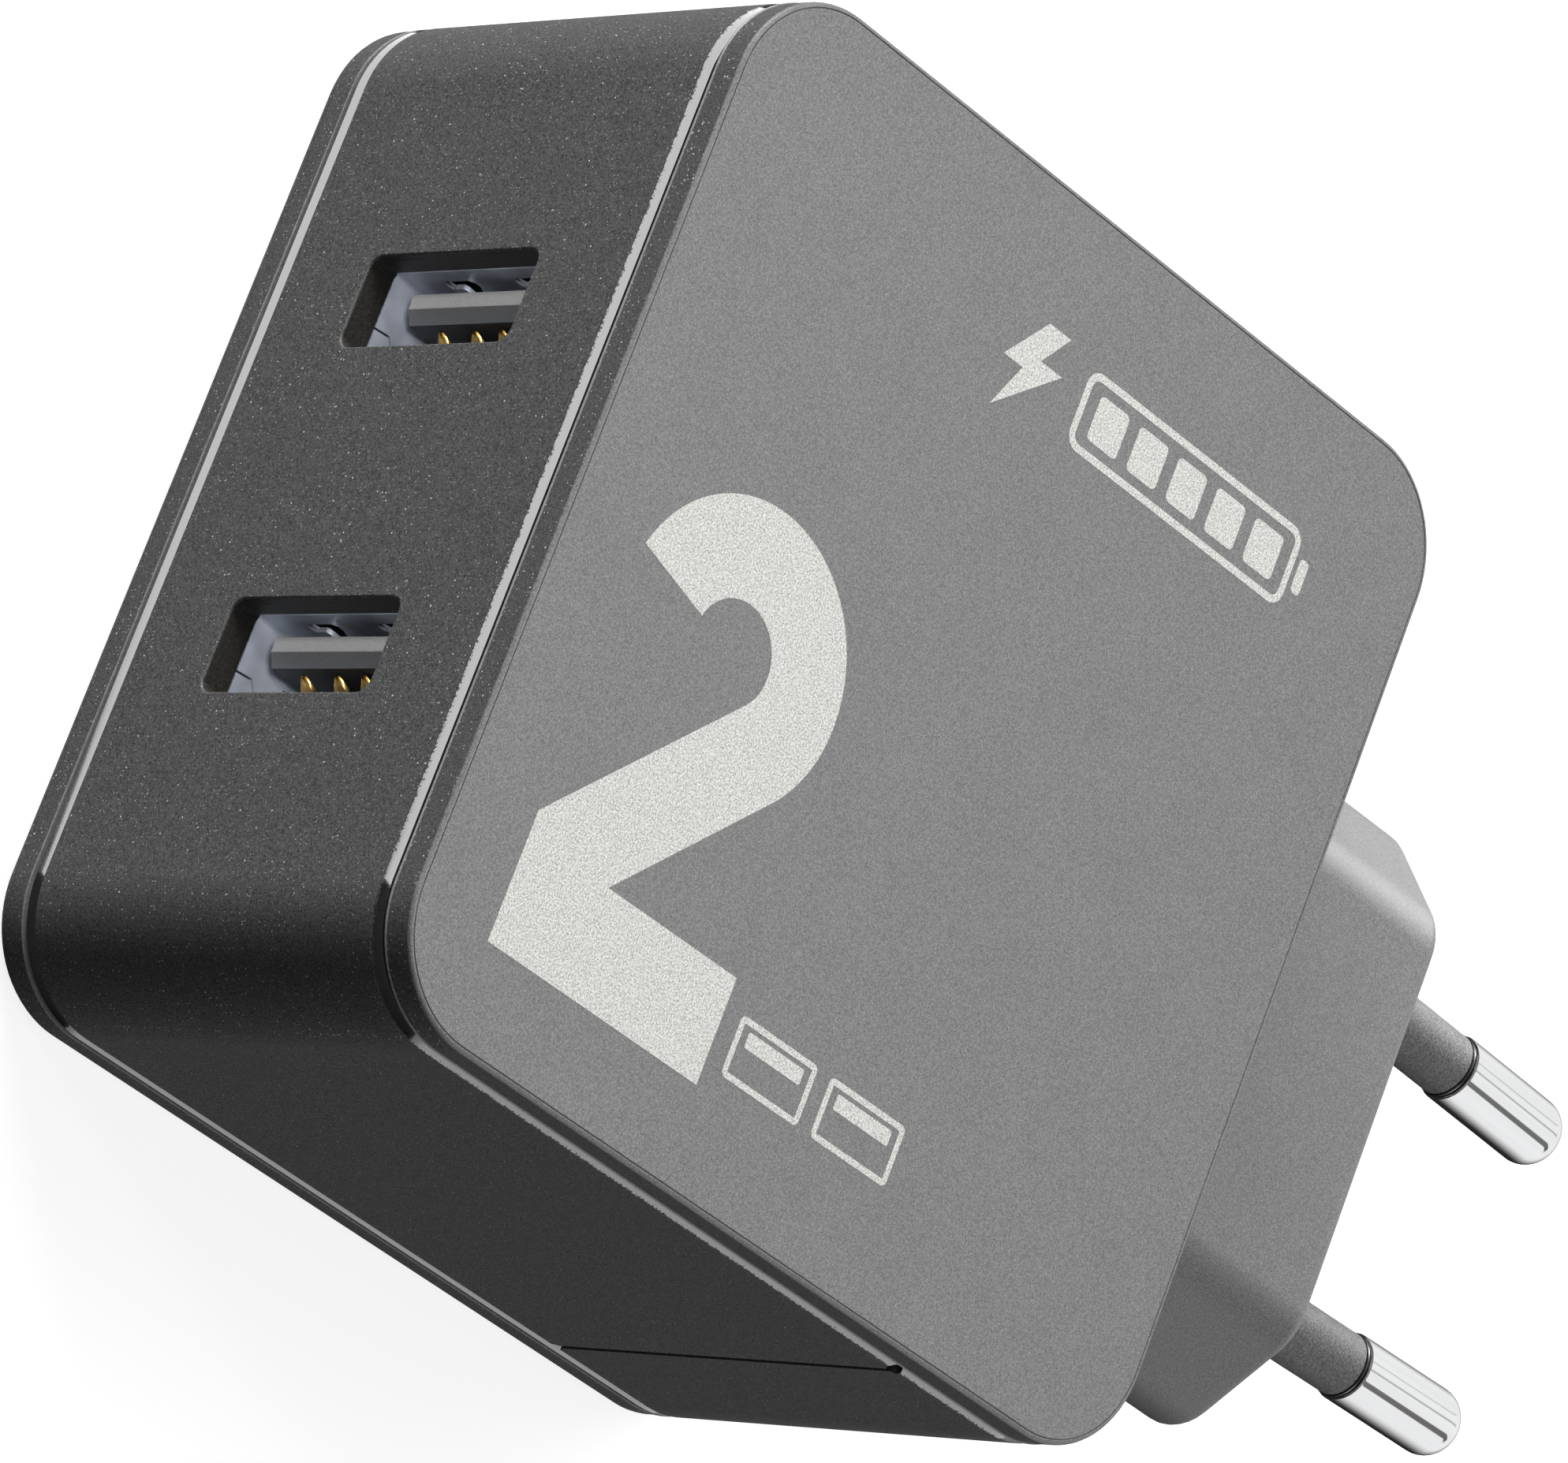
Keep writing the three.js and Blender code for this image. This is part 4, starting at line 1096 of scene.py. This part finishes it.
def ink_object(name, shapes):
    """Thin printed shapes on the cover's face. Each is a list of loops: its edge, then its holes.

    The points are in reading coordinates: u to the right is the case's +Y, and v up is its -X.
    """
    work = bmesh.new()
    for loops in shapes:
        edges = []
        for loop in loops:
            verts = [work.verts.new(place(-v, u, THICK + INK_LIFT)) for u, v in loop]
            for i in range(len(verts)):
                edges.append(work.edges.new((verts[i - 1], verts[i])))
        bmesh.ops.triangle_fill(work, use_beauty=True, use_dissolve=False, edges=edges)
    for face in work.faces:
        if face.normal.z < 0:
            face.normal_flip()
    result = bmesh.ops.extrude_face_region(work, geom=list(work.faces))
    low = [g for g in result["geom"] if isinstance(g, bmesh.types.BMVert)]
    bmesh.ops.translate(work, verts=low, vec=(0, 0, -2 * INK_LIFT * MM))
    bmesh.ops.recalc_face_normals(work, faces=work.faces)
    mesh = bpy.data.meshes.new(name)
    work.to_mesh(mesh)
    work.free()
    dress(linked(bpy.data.objects.new(name, mesh)), "ink", "cover_grey")


def numeral_two():
    """A plain geometric figure 2.

    It is a stroke of one width, round about one centre and then straight along the tangent, on a
    rectangular foot.
    """
    centre_u, centre_v = 12.9, -3.4
    outer, inner = 7.8, 2.7
    start, end = 165, -42
    left, right = 5.2, 20.6
    foot_top, foot_base = -17.2, -23.0
    slope = 1 / math.tan(math.radians(-end))
    outline = arc(centre_u, centre_v, outer, start, end, 44)
    u, v = outline[-1]
    outline += [(u - (v - foot_top) / slope, foot_top)]
    outline += [(right, foot_top), (right, foot_base), (left, foot_base)]
    inside = arc(centre_u, centre_v, inner, end, start, 36)
    u, v = inside[0]
    return [outline + [(left, v - (u - left) * slope)] + inside]


def stroke_ring(cu, cv, wide, high, radius, line):
    """A rounded rectangle drawn as a line."""
    corner = max(radius - line, 0.05)
    return [
        rounded_rectangle(wide, high, radius, cu, cv, 6),
        rounded_rectangle(wide - 2 * line, high - 2 * line, corner, cu, cv, 6),
    ]


def socket_icons():
    """Thin outlines of two socket mouths, each with its tongue."""
    shapes = []
    for u in (24.7, 31.5):
        shapes.append(stroke_ring(u, -20.2, 5.8, 3.3, 0.35, 0.34))
        shapes.append([rounded_rectangle(4.2, 0.85, 0.12, u, -19.55, 3)])
    return shapes


def gauge_icons():
    """A charge gauge: an outlined cell with filled bars and a small end cap."""
    middle = 19.0
    shapes = [stroke_ring(37.1, middle, 17.6, 4.4, 0.9, 0.42)]
    for k in range(5):
        shapes.append([rounded_rectangle(2.35, 2.5, 0.3, 30.7 + k * 3.2, middle, 4)])
    shapes.append([rounded_rectangle(0.7, 1.9, 0.25, 46.6, middle, 4)])
    return shapes


BOLT = [
    (24.6, 21.6), (22.4, 18.7), (23.9, 18.7), (22.7, 16.0),
    (26.6, 19.6), (24.9, 19.6), (26.3, 21.6),
]
ink_object("print_numeral", [numeral_two()])
ink_object("print_sockets", socket_icons())
ink_object("print_bolt", [[BOLT]])
ink_object("print_gauge", gauge_icons())

# ---------------------------------------------------------------- inner parts kept from the frame

KEPT = {
    "board": ("usb_board", "main_board"),
    "brass": ("mains_contact_left", "mains_contact_right"),
    "sheet": ("insulation_sheet",),
    "ferrite": ("transformer_core_lower", "transformer_core_upper", "choke_core"),
    "black": ("transformer_bobbin", "bridge_rectifier", "controller_chip", "optocoupler"),
    "tape": ("transformer_winding",),
    "can_dark": ("bulk_capacitor_1", "bulk_capacitor_2"),
    "can": ("output_capacitor_1", "output_capacitor_2"),
    "copper": ("choke_winding",),
    "film": ("film_capacitor",),
    "fuse": ("fuse",),
    "disc": ("disc_capacitor",),
}
for look, names in KEPT.items():
    for name in names:
        coat(frame["nodes"][name], look)

# ---------------------------------------------------------------- floor, light and camera

FLOOR_REACH = 6.0  # metres
FLOOR_DROP = 0.00002  # metres, so that floor and cover don't share a plane
FLOOR_GLOW = 0.80


def floor_look():
    """A pale floor that glows a little, so that the object's shadow on it stays faint."""
    material = bpy.data.materials.new("floor_pale")
    material.use_nodes = True
    tree = material.node_tree
    shader = tree.nodes["Principled BSDF"]
    noise = tree.nodes.new("ShaderNodeTexNoise")
    noise.inputs["Scale"].default_value = 40.0
    ramp = tree.nodes.new("ShaderNodeValToRGB")
    ramp.color_ramp.elements[0].color = (*grey(0.44), 1.0)
    ramp.color_ramp.elements[1].color = (*grey(0.46), 1.0)
    tree.links.new(noise.outputs["Fac"], ramp.inputs["Fac"])
    tree.links.new(ramp.outputs["Color"], shader.inputs["Base Color"])
    shader.inputs["Roughness"].default_value = 0.9
    shader.inputs["Specular IOR Level"].default_value = 0.0
    shader.inputs["Emission Color"].default_value = (1.0, 1.0, 1.0, 1.0)
    shader.inputs["Emission Strength"].default_value = FLOOR_GLOW
    return material


floor_z = back_low.z * MM - FLOOR_DROP
floor_mesh = bpy.data.meshes.new("floor")
floor_mesh.from_pydata(
    [(a * FLOOR_REACH, b * FLOOR_REACH, floor_z) for a, b in ((-1, -1), (1, -1), (1, 1), (-1, 1))],
    [],
    [(0, 1, 2, 3)],
)
floor_mesh.materials.append(floor_look())
floor = linked(bpy.data.objects.new("floor", floor_mesh))
floor.visible_diffuse = False
floor.visible_glossy = False

# The surroundings: a dim dome, and a bright wall behind the plug (+Y) that the pins and the
# rounded edges reflect, with dark gaps in it. The camera sees plain pale grey in their place.
WALL_EDGE_Y = (0.42, 0.56)
WALL_EDGE_Z = (-0.75, -0.10)
WALL_BRIGHT = 0.88
GAP_EDGE_Z = (0.2, 0.4)
GAPS = ((-0.56, 0.05, 0.3), (-0.27, 0.07, 0.5), (0.255, 0.19, 1.0))  # start in X, width, depth
GAP_SOFT = 0.03
DOME = ((0.0, 0.02), (0.9, 0.20))  # height, brightness
DOME_BEND = (0.15, 0.07)

world = bpy.data.worlds.new("studio")
bpy.context.scene.world = world
world.use_nodes = True
sky = world.node_tree
background = sky.nodes["Background"]
direction = sky.nodes.new("ShaderNodeTexCoord")
height = sky.nodes.new("ShaderNodeSeparateXYZ")
sky.links.new(direction.outputs["Generated"], height.inputs["Vector"])
dome = sky.nodes.new("ShaderNodeValToRGB")
stops = dome.color_ramp.elements
for stop, (position, bright) in zip(stops, DOME):
    stop.position, stop.color = position, (*grey(bright), 1.0)
stops.new(DOME_BEND[0]).color = (*grey(DOME_BEND[1]), 1.0)
sky.links.new(height.outputs["Z"], dome.inputs["Fac"])


def fade(socket, low, high):
    """0 below low, 1 above high, and a smooth step between them."""
    span = sky.nodes.new("ShaderNodeMapRange")
    span.interpolation_type = "SMOOTHSTEP"
    span.inputs["From Min"].default_value = low
    span.inputs["From Max"].default_value = high
    sky.links.new(socket, span.inputs["Value"])
    return span.outputs["Result"]


def combine(operation, a, b):
    """A math node of the world's tree, on sockets or plain numbers."""
    step = sky.nodes.new("ShaderNodeMath")
    step.operation = operation
    for socket, value in zip(step.inputs, (a, b)):
        if isinstance(value, float):
            socket.default_value = value
        else:
            sky.links.new(value, socket)
    return step.outputs["Value"]


wall = combine(
    "MULTIPLY",
    fade(height.outputs["Y"], *WALL_EDGE_Y),
    fade(height.outputs["Z"], *WALL_EDGE_Z),
)
above = fade(height.outputs["Z"], *GAP_EDGE_Z)
for start, width, depth in GAPS:
    rising = fade(height.outputs["X"], start, start + GAP_SOFT)
    falling = fade(height.outputs["X"], start + width, start + width + GAP_SOFT)
    gap = combine("MULTIPLY", rising, combine("SUBTRACT", 1.0, falling))
    gap = combine("MULTIPLY", combine("MULTIPLY", gap, depth), above)
    wall = combine("MULTIPLY", wall, combine("SUBTRACT", 1.0, gap))
wall = combine("MULTIPLY", wall, WALL_BRIGHT)
lit = combine("MAXIMUM", wall, dome.outputs["Color"])
ray = sky.nodes.new("ShaderNodeLightPath")
seen = sky.nodes.new("ShaderNodeMix")
seen.data_type = "RGBA"
seen.inputs["B"].default_value = (*grey(0.95), 1.0)
sky.links.new(ray.outputs["Is Camera Ray"], seen.inputs["Factor"])
sky.links.new(lit, seen.inputs["A"])
sky.links.new(seen.outputs["Result"], background.inputs["Color"])


def softbox(name, towards, distance, wide, high, radiance):
    """An area light seen from the case in the direction towards, in metres.

    radiance is its brightness per unit area.
    """
    data = bpy.data.lights.new(name, "AREA")
    data.shape = "RECTANGLE"
    data.size, data.size_y = wide, high
    data.energy = radiance * math.pi * wide * high
    light = linked(bpy.data.objects.new(name, data))
    aim = Vector(towards).normalized()
    light.location = place(0, LENGTH / 2, MID_Z) + aim * distance
    light.rotation_euler = (-aim).to_track_quat("-Z", "Y").to_euler()
    light.visible_camera = False
    return light


def group(name, starts):
    """A collection, outside the scene, of the pieces whose names start in one of those ways."""
    made = bpy.data.collections.new(name)
    for piece in list(bpy.context.scene.objects):
        if piece.name.startswith(starts):
            made.objects.link(piece)
    return made


def spare(light, starts):
    """Keeps a light off the pieces whose names start in one of those ways."""
    others = group(light.name + "_spares", starts)
    for member in others.collection_objects:
        member.light_linking.link_state = "EXCLUDE"
    light.light_linking.receiver_collection = others


def only(light, starts):
    """Lets a light fall on nothing but the pieces whose names start in one of those ways."""
    light.light_linking.receiver_collection = group(light.name + "_on", starts)


# The photo's parts were lit one by one, so each family of pieces has lights of its own.
TRIMS, PINS, COVERS = ("trim_",), ("pin_metal",), ("cover_", "print_")

# name, direction, distance, width, height, radiance, the pieces it is kept off
for *box, spared in (
    ("light_top", (-0.42, 0.33, 0.84), 1.0, 0.62, 0.52, 4.3, PINS),
    ("light_rim", (-0.73, 0.61, 0.30), 0.95, 0.30, 0.42, 21.0, TRIMS + PINS + COVERS),
    ("light_front", (-0.83, -0.52, 0.17), 0.95, 0.45, 0.45, 23.5, TRIMS + PINS),
    ("light_line", (-0.32, -0.85, 0.38), 0.95, 0.12, 0.36, 6.5, TRIMS + PINS),
    ("light_back", (0.74, 0.61, 0.22), 0.95, 0.35, 0.55, 3.4, TRIMS + PINS),
):
    spare(softbox(*box), spared)

# name, direction, distance, width, height, radiance, the only pieces it lights
for *box, chosen in (
    ("light_covers", (-0.42, 0.05, 0.90), 1.0, 0.62, 0.52, 3.75, COVERS),
    ("light_pins_0", (-0.70, -0.68, 0.20), 0.9, 0.9, 0.5, 0.8, PINS),
    ("light_pins_1", (0.70, -0.68, 0.20), 0.9, 0.9, 0.5, 0.8, PINS),
    ("light_pins_2", (0.0, -0.68, 0.73), 0.9, 0.9, 0.5, 0.8, PINS),
    ("light_trim", (-0.80, -0.57, 0.20), 0.80, 1.25, 0.90, 6.0, TRIMS),
    ("light_trim_side", (0.78, 0.61, 0.10), 0.80, 0.50, 0.70, 1.3, TRIMS),
):
    only(softbox(*box), chosen)

# The inside of the sockets is lit through the front wall, in whose shade it would be black.
port_pieces = group("port_pieces", ("port_",))
for *box, chosen in (
    ("light_tongues", (-0.62, -0.70, 0.35), 0.95, 0.30, 0.30, 38.0,
     ("port_tongue", "port_contact")),
    ("light_shells", (0.0, -0.58, 0.81), 0.95, 0.30, 0.30, 27.0,
     ("port_shell", "port_tabs", "port_contact")),
):
    port_light = softbox(*box)
    only(port_light, chosen)
    port_light.light_linking.blocker_collection = port_pieces

# The camera was solved from the straight edges and rounded outlines of the case in the photo.
CAMERA_RIGHT = Vector((-0.33784, 0.63842, 0.69158))
CAMERA_UP = Vector((-0.88488, -0.46582, -0.00225))
CAMERA_PLACE = Vector((0.160316, -0.352626, 0.365061))  # metres

camera_data = bpy.data.cameras.new("camera")
camera_data.sensor_width = 36.0
camera_data.lens = 227.25
camera_data.clip_start = 0.01
camera = linked(bpy.data.objects.new("camera", camera_data))
axes = Matrix((CAMERA_RIGHT, CAMERA_UP, CAMERA_RIGHT.cross(CAMERA_UP))).transposed().to_4x4()
axes.translation = CAMERA_PLACE
camera.matrix_world = axes
bpy.context.scene.camera = camera
bpy.context.scene.view_settings.view_transform = "Standard"

bpy.context.view_layer.update()
